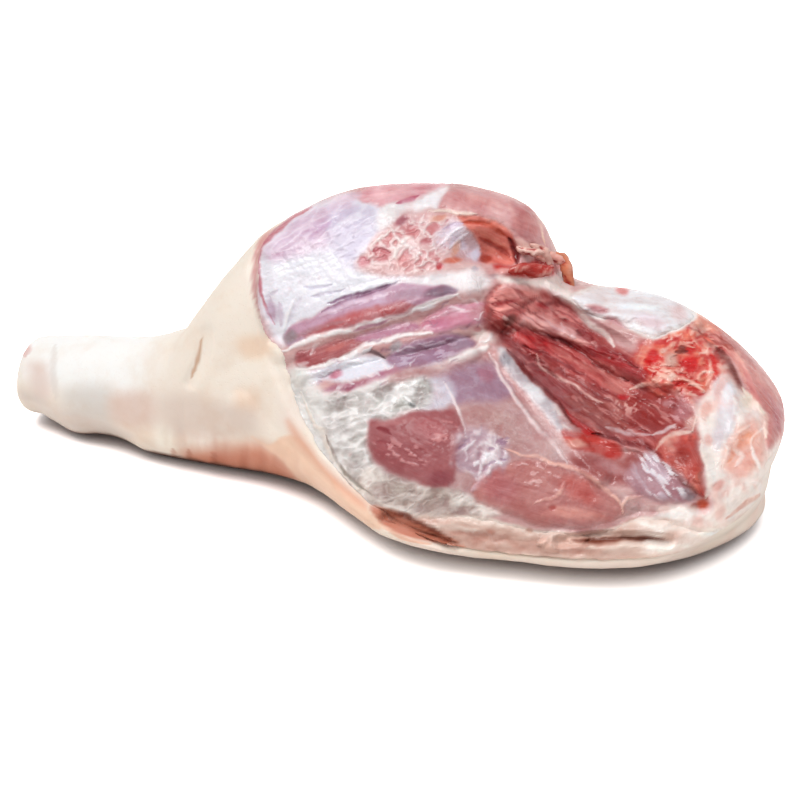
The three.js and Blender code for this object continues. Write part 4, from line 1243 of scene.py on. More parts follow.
# The glints below lay painted highlights on the wet meat and film.
WINDOW_LEFT = [(376, 440), (404, 442), (424, 450), (424, 466), (400, 466), (380, 454)]
lean.glints(WINDOW_LEFT, (224, 162, 162), turn=-20, length=8, width=3.4, level=0.16, cover=0.65, rise=0.5,
            seed=51)
LOWER_ROUND_SHINE = [(516, 464), (552, 464), (562, 488), (530, 488)]
lean.glints(LOWER_ROUND_SHINE, (234, 190, 190), turn=-20, length=7, width=3, level=0.2, cover=0.6, rise=0.4,
            seed=52)
STRIP_SHINE = [(554, 404), (582, 412), (588, 434), (566, 436)]
lean.glints(STRIP_SHINE, (244, 224, 220), turn=-40, length=7, width=3.4, level=0.1, cover=0.85, rise=0.5,
            seed=53)
WINDOW_RIGHT = [(420, 426), (456, 420), (456, 440), (430, 444)]
lean.glints(WINDOW_RIGHT, (210, 140, 140), turn=-20, length=8, width=3, level=0.3, cover=0.7, rise=0.3,
            seed=54)
KNOT = [(458, 440), (470, 429), (482, 427), (497, 435), (507, 446), (508, 459), (498, 468), (484, 477),
        (468, 475), (457, 465), (453, 452)]
knot_depth = depth_in(warp_x, warp_y, KNOT, 14) + 7 * cloud(across / 9, down / 9, 335, 2)
blobs = 0.45 * crests(warp_x / 15, warp_y / 13, 331)
blobs = blobs + 0.6 * smooth(-0.35, 0.35, cloud(warp_x / 9, warp_y / 8, 333))
lean.shade(0.8 * smooth(-7, 4, knot_depth), np.clip(blobs, 0, 1), (178, 146, 160), (250, 245, 249), 1.3)
lean.strands(KNOT, 14, (251, 247, 251), turn=60, length=11, half=2.2, cover=0.8, rise=0.4, seed=61)
lean.strands(KNOT, 12, (150, 112, 138), turn=20, length=8, half=1.8, cover=0.7, rise=-0.5, seed=62)
print("round painted")

# %% [markdown]
# Right of the round lies the red valley, bare muscle in ropes with black-red creases between them, and at
# its foot blood-red shreds, a silvery tip and a red tip. A noise stretched along the ropes and folded at
# zero gives many more ropes than one would care to draw: round backs with sharp grooves. The creases and
# grooves are darkened further as painted shade, the backs lightened as painted light, and flecks of
# painted highlight lie on the wet meat.

# %% The red valley
VALLEY = [(485, 300), (496, 286), (517, 282), (540, 284), (562, 297), (585, 322), (610, 342), (640, 358),
          (652, 372), (662, 392), (694, 416), (696, 432), (668, 436), (655, 452), (633, 446), (605, 438),
          (587, 436), (571, 420), (554, 399), (532, 375), (509, 352), (498, 335), (486, 326)]
valley_depth = lean.area(VALLEY, (170, 80, 78), soft=5, grain=-33, traits=FIBROUS)
VALLEY_HEAD = [(488, 302), (496, 290), (512, 284), (532, 287), (539, 296), (526, 304), (511, 313),
               (497, 313)]
VALLEY_BRIM = [(498, 277), (520, 278), (548, 276), (562, 276), (572, 290), (576, 304), (566, 302),
               (550, 293), (526, 287), (506, 286)]
UPPER_ROPE = [(524, 308), (534, 299), (552, 298), (572, 312), (582, 324), (560, 320), (536, 314)]
PALE_ROPE = [(517, 320), (530, 313), (556, 319), (578, 327), (596, 344), (570, 342), (544, 334), (526, 328)]
RED_ROPE = [(512, 336), (522, 328), (542, 336), (558, 346), (568, 356), (548, 354), (526, 348)]
BLOODY_CREASE = [(586, 348), (604, 350), (634, 362), (646, 372), (634, 374), (606, 362)]
MIDDLE_ROPE = [(548, 346), (572, 348), (602, 364), (630, 382), (640, 392), (620, 394), (590, 384),
               (562, 370)]
FRONT_ROPE = [(508, 350), (524, 352), (552, 374), (584, 398), (590, 414), (572, 414), (548, 392),
              (526, 370)]
VALLEY_FLOOR = [(566, 396), (600, 396), (630, 406), (634, 428), (608, 434), (586, 424)]
lean.paint([
    (VALLEY_HEAD, (255, 176, 168), dict(soft=4, puff=2.2, edge=9, grain=10)),
    (VALLEY_BRIM, (255, 240, 234), dict(soft=5, traits=FILMY)),
    (UPPER_ROPE, (238, 150, 146), dict(soft=4, puff=1.6, edge=7)),
    (PALE_ROPE, (244, 180, 174), dict(soft=4, puff=2.2, edge=8, grain=-28, traits=(0.3, 0.5, 0.6))),
    (RED_ROPE, (196, 66, 68), dict(soft=4, puff=1.6, edge=7, grain=-30)),
    (BLOODY_CREASE, (168, 38, 42), dict(soft=4, grain=-22)),
    (MIDDLE_ROPE, (190, 90, 88), dict(soft=4, puff=2.4, edge=10, grain=-30)),
    (FRONT_ROPE, (156, 82, 84), dict(soft=5, puff=1.2, edge=8, grain=-42)),
    (VALLEY_FLOOR, (152, 78, 74), dict(soft=7, traits=(0.2, 0.3, 0.6))),
])
print("ropes laid")

# %% Grooves between the ropes
ROPE_TURN, ROPE_LENGTH, ROPE_WIDTH, ROPE_RISE = -33, 62, 8, 2.6
GROOVE_RED_AND_SHADE, ROPE_BACK_PINK_AND_LIGHT = (126, 40, 42), (208, 120, 114)
GROOVE_EDGE, BACK_EDGE, VALLEY_EDGE = (0.0, 0.24), (0.18, 0.5), (0, 9)
ROPE_BEND, BEND_LENGTH, BEND_WIDTH = 0.5, 40, 18
along, aside = bearing(ROPE_TURN)
rope_bend = ROPE_BEND * cloud(along / BEND_LENGTH, aside / BEND_WIDTH, 343)
ropes = np.abs(cloud(along / ROPE_LENGTH + rope_bend, aside / ROPE_WIDTH + rope_bend, 341, 2))
in_valley = smooth(*VALLEY_EDGE, valley_depth)
groove = (1 - smooth(*GROOVE_EDGE, ropes)) * in_valley
back = smooth(*BACK_EDGE, ropes) * in_valley
# The grooves between the ropes are dark red, darkened further as painted shade, and the ropes' backs are
# pinker, lightened as painted light.
lean.tint = lay(lean.tint, GROOVE_RED_AND_SHADE, 0.5 * groove)
lean.tint = lay(lean.tint, ROPE_BACK_PINK_AND_LIGHT, 0.3 * back)
lean.rise = lean.rise + ROPE_RISE * np.minimum(ropes, 0.5) * in_valley
print("grooves cut")

# %% The valley's foot
RED_TIP = [(655, 452), (660, 440), (672, 431), (686, 433), (698, 431), (697, 446), (703, 460), (702, 478),
           (708, 498), (694, 490), (682, 474), (668, 464)]
DARK_MUSCLE = [(624, 412), (630, 396), (648, 390), (668, 394), (690, 412), (684, 428), (660, 434),
               (635, 428)]
FOOT_SHREDS = [(560, 430), (580, 432), (600, 438), (622, 446), (616, 460), (594, 454), (572, 448)]
FOOT_FILM = [(570, 456), (594, 456), (618, 460), (632, 450), (652, 462), (640, 482), (608, 482), (580, 470)]
SILVER_TIP = [(624, 474), (640, 460), (657, 454), (680, 476), (697, 493), (684, 503), (657, 501),
              (636, 492)]
lean.paint([
    (DARK_MUSCLE, (154, 62, 60), dict(soft=5, puff=2, edge=11, traits=(0.1, 0.3, 0.6))),
    (FOOT_SHREDS, (194, 66, 60), dict(puff=1.5, edge=5, traits=RAW, patchy=0.3)),
    (FOOT_FILM, (166, 92, 90), dict(soft=6, traits=(0.1, 0.2, 0.4))),
    (SILVER_TIP, (182, 136, 144), dict(soft=5, puff=2, edge=9, traits=(0.2, 0.1, 0.5))),
    (RED_TIP, (186, 78, 71),
     dict(soft=4, puff=2.5, edge=8, grain=-62, traits=(0.1, 0.4, 0.5), patchy=0.15)),
])
print("foot laid")

# %% Creases, blood, painted shade and painted highlights in the valley
# In this table the dark lines are the creases and gaps between the ropes, dark red and further darkened as
# painted shade.
VALLEY_LINES = [
    ([(500, 333), (507, 322), (514, 318), (530, 326), (548, 336)], (122, 52, 50), 3.0, 0.5, -0.8),
    ([(506, 316), (518, 308), (528, 301), (537, 296)], (150, 62, 62), 3.0, 0.45, -0.3),
    ([(548, 336), (566, 343), (590, 352), (612, 358), (638, 368)], (124, 28, 34), 3.0, 0.9, -1.8),
    ([(592, 363), (604, 370), (615, 376), (628, 380)], (116, 40, 40), 2.4, 0.85, -1.4),
    ([(577, 331), (584, 335), (593, 341)], (112, 16, 22), 4.0, 0.9, -2),
    ([(522, 346), (540, 352), (562, 364), (584, 376)], (134, 50, 54), 2.2, 0.7, -1.2),
    ([(560, 318), (580, 330), (600, 346), (630, 358)], (146, 52, 56), 2.2, 0.7, -1.2),
    ([(506, 350), (520, 364), (532, 377), (555, 401), (574, 420), (590, 432)],
     (104, 30, 32), 2.8, 0.8, -1.4),
    ([(566, 410), (576, 420), (584, 427), (592, 432)], (190, 28, 32), 2.6, 0.85, 0),
    ([(592, 434), (609, 438), (630, 443), (648, 448), (658, 460)], (110, 30, 32), 2.4, 0.85, -1.6),
    ([(658, 460), (670, 470), (682, 482), (696, 494)], (128, 70, 66), 2.4, 0.7, -1.0),
    ([(537, 353), (541, 366), (556, 375), (573, 384), (592, 397), (603, 403)],
     (232, 184, 176), 2.0, 0.9, 0.6),
    ([(546, 282), (560, 288), (572, 302), (585, 320), (602, 333), (614, 346)],
     (252, 236, 230), 4.0, 0.95, 1.0),
    # The next two short pale lines are painted highlights on the wet muscle.
    ([(560, 322), (566, 332), (576, 338)], (226, 188, 190), 2.0, 0.8, 0.4),
    ([(546, 320), (556, 328), (570, 334)], (220, 178, 182), 1.8, 0.7, 0.4),
    ([(630, 388), (642, 385), (656, 383), (676, 388), (690, 400), (696, 414), (692, 430)],
     (240, 206, 194), 2.8, 0.9, 1.0),
    ([(692, 430), (680, 433), (666, 438), (657, 450)], (240, 208, 196), 2.8, 0.9, 1.0),
    ([(606, 426), (618, 430), (634, 434), (652, 436)], (222, 196, 198), 2.4, 0.8, 0.5),
    ([(652, 436), (664, 431), (676, 424)], (226, 204, 206), 2.4, 0.8, 0.5),
    # The next two lines are painted highlights along the ropes' backs.
    ([(524, 318), (546, 322), (568, 330), (588, 342)], (216, 160, 160), 2.2, 0.5, 0.4),
    ([(560, 356), (586, 366), (612, 378), (636, 388)], (212, 130, 122), 3.0, 0.6, 0.5),
    ([(498, 290), (512, 287), (530, 290)], (224, 166, 164), 2.6, 0.7, 0.4),
    ([(492, 303), (506, 302), (522, 298)], (186, 66, 70), 2.6, 0.7, -0.6),
]
VALLEY_SPOTS = [
    # (509, 321) is a dark hole: a small dent painted dark as shade.
    (509, 321, 8, 5, 20, (98, 56, 50), 0.7, -0.8), (505, 318, 3, 2, 0, (224, 186, 180), 0.8, 0.4),
    (514, 330, 3, 2, 0, (220, 176, 170), 0.7, 0.4), (543, 306, 7, 4, -15, (192, 50, 54), 0.8),
    (617, 387, 16, 6, -30, (208, 122, 112), 0.7), (624, 396, 6, 3, 0, (198, 48, 52), 0.85),
    (682, 410, 9, 12, -20, (198, 144, 150), 0.6), (668, 404, 6, 4, 0, (214, 170, 174), 0.6, 0.4),
    (576, 444, 12, 5, -12, (230, 168, 154), 0.85, 0.6), (608, 454, 6, 3, 0, (186, 50, 46), 0.5),
    (588, 432, 7, 3, -20, (200, 40, 40), 0.8), (687, 494, 9, 6, -30, (160, 146, 152), 0.75),
    (681, 458, 9, 11, -30, (150, 54, 48), 0.7), (690, 437, 9, 4, 10, (226, 112, 100), 0.75, 0.4),
    (672, 440, 8, 4, 10, (236, 156, 140), 0.7, 0.4), (696, 482, 5, 12, -20, (200, 120, 106), 0.6, 0.3),
    (669, 446, 5, 9, 30, (230, 176, 162), 0.6, 0.4), (703, 505, 6, 6, 0, (190, 72, 48), 0.9, 0.4),
    (695, 507, 4, 4, 0, (134, 60, 50), 0.8), (612, 468, 18, 6, -20, (196, 146, 148), 0.6),
]
lean.paint(lines=VALLEY_LINES, spots=VALLEY_SPOTS)
print(len(VALLEY_LINES), "lines and", len(VALLEY_SPOTS), "spots in the valley")

# %% Streaks and shine in the valley
# The glints in this cell lay painted highlights on the wet meat; the broad first one on the silver tip is
# partly pale membrane.
SILVER_TIP_SHINE = [(632, 462), (654, 452), (682, 478), (684, 496), (656, 496), (640, 478)]
lean.glints(SILVER_TIP_SHINE, (214, 196, 208), turn=-48, length=22, width=8, level=-0.05, cover=0.6, rise=0.4,
            seed=31)
lean.glints(SILVER_TIP_SHINE, (250, 246, 251), turn=-48, length=10, width=3.4, level=0.14, cover=0.8,
            rise=0.5, seed=32)
DARK_MUSCLE_LEFT = [(618, 398), (654, 396), (656, 410), (622, 414)]
lean.glints(DARK_MUSCLE_LEFT, (230, 178, 170), turn=70, length=6, width=3.4, level=0.16, cover=0.7,
            rise=0.5, seed=33)
DARK_MUSCLE_RIGHT = [(652, 390), (684, 396), (696, 416), (678, 422), (658, 406)]
lean.glints(DARK_MUSCLE_RIGHT, (226, 172, 176), turn=-40, length=6, width=3.0, level=0.15, cover=0.6,
            rise=0.5, seed=34)
VALLEY_FOOT = [(600, 424), (640, 430), (680, 428), (664, 440), (620, 440)]
lean.strands(VALLEY_FOOT, 16, (230, 208, 210), turn=-8, length=11, half=1.6, cover=0.7, rise=0.5, seed=35)
lean.strands(VALLEY, 16, (206, 128, 124), turn=-33, length=24, half=1.6, cover=0.45, rise=0.4, seed=36)
lean.glints(VALLEY, (226, 160, 154), turn=-33, length=14, width=3.0, level=0.36, cover=0.5, rise=0.4,
            seed=38)
lean.strands(VALLEY, 16, (122, 42, 44), turn=-33, length=20, half=1.7, cover=0.45, rise=-0.5, seed=37)
lean.strands(RED_TIP, 14, (216, 112, 98), turn=-58, length=13, half=1.7, cover=0.6, rise=0.5, seed=39)
lean.strands(RED_TIP, 10, (134, 40, 36), turn=-58, length=12, half=1.6, cover=0.6, rise=-0.5, seed=40)
print("valley painted")

# %% [markdown]
# The cut hip bone is spongy: pale ridges curl around red hollows. The same crests as for the froth make it,
# drawn on circles around the bone's middle. Next to it the rump turns round the end of the leg.

# %% The spongy bone and the rump
BONE = [(640, 356), (650, 344), (666, 335), (684, 329), (704, 334), (718, 352), (722, 374), (706, 392),
        (684, 396), (660, 390), (642, 374)]
BONE_MIDDLE = (682, 366)
BONE_RED, BONE_PINK = (204, 40, 38), (232, 128, 104)
BONE_HOLLOW, BONE_RIDGE, BONE_RISE = (202, 50, 44), (242, 166, 148), 2.2
RUMP = [(688, 312), (698, 308), (717, 320), (730, 334), (742, 346), (750, 358), (764, 374), (780, 391),
        (788, 410), (788, 426), (779, 440), (768, 452), (763, 424), (753, 402), (746, 384), (734, 363),
        (716, 347), (704, 338)]
lean.area(RUMP, (199, 128, 124), puff=3, edge=9, grain=-50, traits=(0.2, 0.6, 0.4))
bone_depth = depth_in(warp_x, warp_y, BONE, 14) + 6 * cloud(across / 10, down / 10, 351)
in_bone = smooth(-12, 8, bone_depth)
from_middle = np.hypot(across - BONE_MIDDLE[0], down - BONE_MIDDLE[1])
round_it = np.arctan2(down - BONE_MIDDLE[1], across - BONE_MIDDLE[0])
curls = 0.7 * crests(round_it * 1.4, from_middle / 10, 353) + 0.6 * crests(warp_x / 12, warp_y / 8, 355)
lean.shade(0.85 * in_bone, np.clip(curls, 0, 1), BONE_HOLLOW, BONE_RIDGE, BONE_RISE)
bloody = smooth(0.12, 0.42, cloud(warp_x / 13, warp_y / 10, 357))
dry = smooth(0.1, 0.4, -cloud(warp_x / 15, warp_y / 12, 359))
lean.tint = lay(lean.tint, BONE_RED, 0.75 * in_bone * bloody)
lean.tint = lay(lean.tint, BONE_PINK, 0.6 * in_bone * dry)
lean.traits = lay(lean.traits, RAW, in_bone)
print("bone and rump laid")

# %% Ridges, blood and painted shade on the bone
BONE_LINES = [
    ([(662, 340), (684, 332), (704, 336), (716, 350)], (230, 116, 94), 3.6, 0.7, 0.6),
    ([(700, 346), (708, 358), (711, 372), (706, 386)], (246, 186, 170), 2.4, 0.8, 0.8),
    ([(648, 368), (664, 376), (686, 380), (704, 390)], (247, 198, 182), 2.6, 0.85, 0.9),
    ([(664, 352), (672, 346), (682, 344), (694, 348)], (240, 178, 160), 2.4, 0.8, 0.8),
    # A small hole in the bone, darkened as painted shade.
    ([(676, 353), (681, 352), (687, 351)], (116, 50, 44), 2.6, 0.85, -0.9),
    # The rump crease, darkened as painted shade.
    ([(706, 340), (716, 350), (727, 364), (734, 380), (743, 397)], (152, 84, 78), 3.6, 0.75, -1.4),
    ([(690, 321), (704, 327), (718, 337)], (182, 98, 88), 2.4, 0.8, -0.6),
    ([(694, 313), (708, 321), (722, 334)], (196, 116, 106), 2.2, 0.7, -0.5),
    ([(760, 384), (772, 402), (778, 420)], (184, 116, 122), 2.4, 0.6, -0.5),
    ([(728, 346), (742, 362), (752, 380)], (228, 172, 162), 2.6, 0.6, 0.4),
]
BONE_SPOTS = [
    (654, 354, 6, 6, 0, (192, 34, 34), 0.85, -0.5), (672, 360, 7, 9, 20, (210, 170, 158), 0.85, 0.5),
    (690, 364, 7, 6, 0, (212, 22, 24), 0.9), (680, 384, 9, 4, 0, (200, 48, 44), 0.65, -0.4),
    (640, 374, 8, 6, -20, (158, 36, 38), 0.75), (706, 324, 18, 6, -32, (228, 148, 130), 0.75),
    (780, 416, 7, 18, 0, (184, 118, 124), 0.7), (754, 376, 8, 18, 40, (218, 156, 150), 0.6),
]
lean.paint(lines=BONE_LINES, spots=BONE_SPOTS)
lean.strands(BONE, 34, (250, 212, 198), turn=10, length=12, half=1.7, cover=0.75, rise=0.5, seed=71)
lean.strands(BONE, 20, (178, 22, 24), turn=40, length=10, half=1.7, cover=0.7, rise=-0.5, seed=72)
RUMP_TOP = [(684, 318), (696, 310), (716, 322), (734, 340), (746, 358), (738, 362), (718, 344), (700, 332)]
lean.strands(RUMP_TOP, 16, (238, 176, 156), turn=-42, length=20, half=1.7, cover=0.65, rise=0.0, seed=73)
lean.strands(RUMP_TOP, 14, (146, 62, 54), turn=-42, length=18, half=1.6, cover=0.65, rise=0.0, seed=74)
RUMP_CREASE_LINES = [
    # A dark crease of the rump, darkened as painted shade, with a pale line beside it.
    ([(716, 348), (727, 361), (735, 376), (743, 394)], (112, 58, 54), 3.0, 0.8),
    ([(722, 346), (733, 358), (741, 372), (748, 388)], (222, 164, 152), 2.0, 0.7),
]
# Red spots of blood and a pale fleck; the dark spot at (682, 348) is a hole darkened as painted shade.
BONE_BLOOD_AND_SHADE_SPOTS = [
    (690, 362, 8, 7, 30, (214, 18, 22), 0.8), (652, 358, 8, 6, 30, (204, 24, 30), 0.7),
    (665, 350, 4, 3, 0, (232, 190, 176), 0.7), (682, 348, 4, 2.5, 0, (124, 48, 42), 0.8),
]
lean.paint(lines=RUMP_CREASE_LINES, spots=BONE_BLOOD_AND_SHADE_SPOTS)
print("bone and rump painted")

# %% [markdown]
# Right of the red tip the fat is thin and white over the hip, with bluish gristle, pink blushes and a
# salmon patch. It is too thin for a layer of its own, so it is painted on the meat's surface with a low
# puff.

# %% The hip's white fat
HIP_FAT = [(696, 416), (703, 396), (714, 382), (724, 374), (736, 386), (750, 399), (762, 418), (769, 448),
           (780, 442), (786, 470), (770, 505), (742, 530), (705, 536), (672, 526), (658, 508), (690, 506),
           (704, 514), (713, 504), (708, 482), (703, 455), (699, 432)]
CARTILAGE = [(712, 384), (724, 376), (736, 392), (738, 406), (734, 424), (726, 440), (716, 452), (712, 440),
             (716, 424), (718, 404)]
SALMON = [(722, 460), (726, 444), (738, 428), (752, 422), (764, 434), (765, 454), (753, 472), (737, 477),
          (726, 471)]
HIP_LINES = [
    ([(742, 388), (754, 402), (763, 416), (768, 438)], (242, 226, 210), 4.0, 0.9, 0.8),
    ([(727, 519), (743, 505), (764, 490)], (214, 164, 150), 2.2, 0.85, -0.6),
    ([(712, 540), (736, 524), (760, 502)], (246, 232, 222), 4.0, 0.6, 0.4),
    ([(728, 462), (736, 446), (748, 434)], (228, 148, 122), 3.0, 0.7, -0.3),
    ([(722, 468), (726, 452), (737, 434), (751, 424)], (248, 224, 213), 2.2, 0.8, 0.4),
    ([(700, 440), (706, 462), (710, 486), (706, 498)], (248, 236, 226), 2.8, 0.8, 0.5),
]
HIP_SPOTS = [
    (746, 440, 12, 7, 40, (228, 150, 124), 0.6), (742, 466, 12, 8, 20, (236, 176, 164), 0.5),
    (727, 392, 7, 9, -20, (226, 218, 230), 0.5), (690, 424, 6, 10, 0, (238, 208, 198), 0.6),
    (754, 408, 5, 8, 20, (238, 206, 198), 0.6), (712, 470, 5, 12, 0, (246, 240, 234), 0.7),
    (668, 516, 16, 6, 8, (246, 240, 237), 0.7),
]
lean.paint([
    (HIP_FAT, (242, 230, 223), dict(soft=5, puff=1.6, edge=9, traits=(0.3, 0.0, 0.4))),
    (CARTILAGE, (222, 210, 214), dict(soft=5, puff=0.8, edge=6, traits=(0.4, 0.0, 0.7))),
    (SALMON, (230, 170, 156), dict(soft=5, patchy=0.15)),
], HIP_LINES, HIP_SPOTS)
HIP_BLUSH = (230, 178, 168)
blushing = within(HIP_FAT, -6, 6) * smooth(-0.05, 0.5, cloud(warp_x / 15, warp_y / 21, 81))
lean.tint = lay(lean.tint, HIP_BLUSH, 0.6 * blushing)
lean.strands(HIP_FAT, 26, (252, 246, 242), turn=-65, length=20, half=2.0, cover=0.8, rise=0.5, seed=82)
lean.strands(HIP_FAT, 14, (222, 176, 166), turn=-65, length=14, half=1.6, cover=0.5, rise=-0.4, seed=83)
GRISTLE_SPOTS = [
    (728, 396, 7, 12, -15, (236, 234, 238), 0.75), (726, 422, 6, 14, 12, (232, 230, 234), 0.7),
    (706, 410, 6, 9, -10, (222, 160, 150), 0.7), (708, 440, 5, 7, 0, (228, 172, 162), 0.6),
    (717, 486, 6, 5, 20, (214, 148, 136), 0.6), (747, 402, 5, 9, 20, (240, 222, 204), 0.7),
]
lean.paint(spots=GRISTLE_SPOTS)
print("hip fat painted")

# %% [markdown]
# The thick fat is its own layer over every second point of the same grid: the rim along the bottom and the
# one behind the valley. Its cover says where it lies. Where the cover is above one half, the fat stands out
# of the meat, and the meat beside it takes on the fat's colour, because fat thins out over meat and doesn't
# stop like a plate.

# %% The fat
fat = Layer((236, 218, 208))
BOTTOM_RIM = [(372, 508), (400, 514), (440, 518), (470, 518), (500, 524), (540, 533), (580, 535),
              (612, 530), (640, 520), (664, 520), (690, 528), (716, 530), (744, 516), (768, 494),
              (782, 468), (794, 476), (782, 520), (750, 548), (700, 562), (620, 574), (560, 572),
              (480, 562), (420, 552), (384, 538), (364, 518)]
BACK_RIM = [(572, 296), (600, 286), (640, 283), (674, 292), (694, 312), (690, 322), (672, 332), (654, 338),
            (638, 332), (622, 324), (600, 318), (584, 312), (576, 306)]
RIM_BLUSH = [(420, 520), (470, 524), (520, 536), (560, 540), (600, 540), (620, 532), (600, 552), (560, 556),
             (480, 550), (430, 538)]
RIM_WHITE = [(640, 520), (700, 530), (750, 520), (780, 490), (772, 518), (745, 542), (700, 552), (650, 556)]
RIM_LINES = [
    ([(660, 540), (700, 540), (742, 524), (770, 500)], (250, 238, 229), 8.0, 0.7),
    ([(440, 548), (500, 557), (560, 561), (620, 562), (690, 553), (735, 537)],
     (238, 210, 196), 5.0, 0.8, 0.4),
    ([(583, 304), (596, 306), (608, 311)], (240, 206, 204), 2.4, 0.8, 0.6),
    ([(604, 316), (624, 324), (642, 331), (660, 336)], (248, 240, 242), 3.0, 0.8, 0.6),
    # Painted shadow along the rim's upper edge, where it meets the meat.
    ([(606, 528), (622, 522), (640, 516)], (186, 142, 128), 2.6, 0.8, -0.6),
    # A faint slit in the rim, a shallow dent darkened as painted shade.
    ([(470, 534), (520, 542), (566, 546)], (190, 142, 128), 3.0, 0.5, -0.4),
    ([(400, 520), (440, 526), (480, 530)], (240, 222, 211), 3.0, 0.6, 0.4),
]
RIM_SPOTS = [
    (672, 535, 12, 6, 6, (224, 186, 172), 0.7), (530, 530, 4, 3, 0, (192, 144, 128), 0.7),
    (491, 532, 4, 2.5, 0, (208, 150, 134), 0.7), (598, 309, 12, 4, -14, (184, 114, 120), 0.8, -0.8),
    (590, 314, 7, 3, -8, (186, 172, 176), 0.6), (616, 324, 14, 5, -28, (190, 118, 122), 0.7, -0.6),
    (650, 322, 18, 7, -18, (232, 208, 216), 0.7), (640, 296, 24, 6, -8, (244, 243, 247), 0.7),
    (622, 290, 7, 5, -20, (228, 142, 140), 0.9, 0.8), (680, 314, 10, 8, -40, (234, 200, 200), 0.6),
]
fat.paint([
    (BOTTOM_RIM, (229, 202, 189), dict(soft=7, puff=1.5, edge=12, traits=(0.2, 0.0, 0.3))),
    (BACK_RIM, (237, 233, 237), dict(soft=6, puff=2, edge=12, traits=(0.3, 0.0, 0.4), patchy=0.15)),
    (RIM_BLUSH, (204, 154, 140), dict(soft=8, cover=0.8, patchy=0.35)),
    (RIM_WHITE, (255, 244, 236), dict(soft=8)),
], RIM_LINES, RIM_SPOTS)
STREAK_RISE, STREAK_SHADE = 0.9, np.array((0.07, 0.13, 0.14))
RIM_TRAITS = (0.2, 0.0, 0.3)
along, aside = bearing(-5)
rim_streaks = cloud(along / 26, aside / 5, 361)
# The streaks that lift the rim also tint it, darker where low and lighter where raised: part streaky
# colour, part painted shade and light.
fat.tint = fat.tint * (1 + rim_streaks[..., None] * STREAK_SHADE)
fat.rise = fat.rise + STREAK_RISE * rim_streaks
over_meat = smooth(0.03, 0.42, fat.cover)
lean.tint = lay(lean.tint, fat.tint, over_meat)
lean.traits = lay(lean.traits, RIM_TRAITS, over_meat)
print("rims laid")

# %% The slits in the rim
UNDER_SLIT = [(366, 508), (384, 520), (404, 531), (430, 540), (464, 547), (452, 562), (400, 554),
              (362, 532)]
RIGHT_SLIT = [(571, 540), (595, 537), (623, 537), (644, 535), (666, 540), (645, 540), (614, 541),
              (588, 543)]
LEFT_SLIT_AREAS = [
    (UNDER_SLIT, (206, 132, 110), dict(soft=3)),
    (LEFT_SLIT, (214, 142, 120), dict(soft=2.5, puff=-3.5, edge=7)),
]
SLIT_LINES = [
    # Painted shadow along the top of the left slit, under the fat's overhanging edge.
    ([(378, 509), (396, 513), (420, 523), (450, 538)], (120, 64, 52), 3.4, 0.9, -1.2),
    # Painted shade on the rim just above the right slit.
    ([(572, 534), (606, 531), (640, 529), (662, 534)], (196, 152, 138), 4.0, 0.5),
    ([(540, 544), (554, 541), (570, 540), (586, 539)], (240, 200, 184), 8.0, 0.85, 3.2),
    ([(564, 541), (584, 539), (604, 538)], (240, 198, 182), 5.0, 0.6),
]
# The right slit: a shallow dent painted dark brown as shade.
RIGHT_SLIT_AREAS = [(RIGHT_SLIT, (124, 68, 54), dict(soft=2.5, puff=-0.9, edge=4))]
RIGHT_SLIT_LIP = [([(584, 548), (614, 546), (650, 545)], (244, 226, 213), 2.4, 0.7, 0.4)]
for layer in (lean, fat):
    layer.paint(LEFT_SLIT_AREAS, SLIT_LINES)
    layer.paint(RIGHT_SLIT_AREAS, RIGHT_SLIT_LIP)
print("slits cut")

# %% [markdown]
# Now both layers take their form: the plain leg, the large relief, each layer's own rise, and a fine
# unevenness. The fat's surface is the meat's, lifted or sunk by its cover, so that it shows only where it
# lies. The same noise that lifts a fibre, a fine bump or a curd of fat also tints it, darker in its grooves
# and lighter on its backs, as painted shade and light. The meat is cut in two across its rows to keep each
# mesh small. Both halves get their normals from the whole surface, so no seam shows.

# %% The forms of meat and fat
SINK_DEPTH, SINK_PLACE, GROUND_PLACE = 9.0, (0.5, -6.0), (-6, 3)
FAT_LIFT, CARRIED_SHARE = 4.4, 0.4
FIBRE_RISE, FIBRE_LENGTH, FIBRE_WIDTH = 0.7, 34.0, 3.6
CRUMPLE_RISE, CRUMPLE_LENGTH, CRUMPLE_WIDTH = 0.9, 22.5, 9.0
FINE_SIZE = 3.4
CURD_RISE, CURD_SIZE = 0.8, 6.5

sink = SINK_DEPTH * smooth(*SINK_PLACE, field)
ground = large_relief(across, down) * smooth(*GROUND_PLACE, field)
film_share, fibre_share = lean.traits[..., 0], lean.traits[..., 1]
grain_along = across * np.cos(lean.grain_turn) - down * np.sin(lean.grain_turn)
grain_across = across * np.sin(lean.grain_turn) + down * np.cos(lean.grain_turn)
fibre = cloud(grain_along / FIBRE_LENGTH, grain_across / FIBRE_WIDTH, 101, 2) * fibre_share
crumple = np.abs(cloud(grain_along / CRUMPLE_LENGTH, grain_across / CRUMPLE_WIDTH, 105)) * film_share
fine = leg_cloud(face, FINE_SIZE, 111)
lean_rise = ground + lean.rise + FIBRE_RISE * fibre - CRUMPLE_RISE * crumple
curds = CURD_RISE * leg_cloud(face, CURD_SIZE, 121)
carried = np.where(lean.rise < 0, lean.rise, CARRIED_SHARE * lean.rise)
fat_rise = ground + carried + fat.rise + FAT_LIFT * (fat.cover - 0.5) + curds * smooth(0.2, 0.6, fat.cover)
print("meat rises", np.round([lean_rise.min(), lean_rise.max()], 1), "mm")

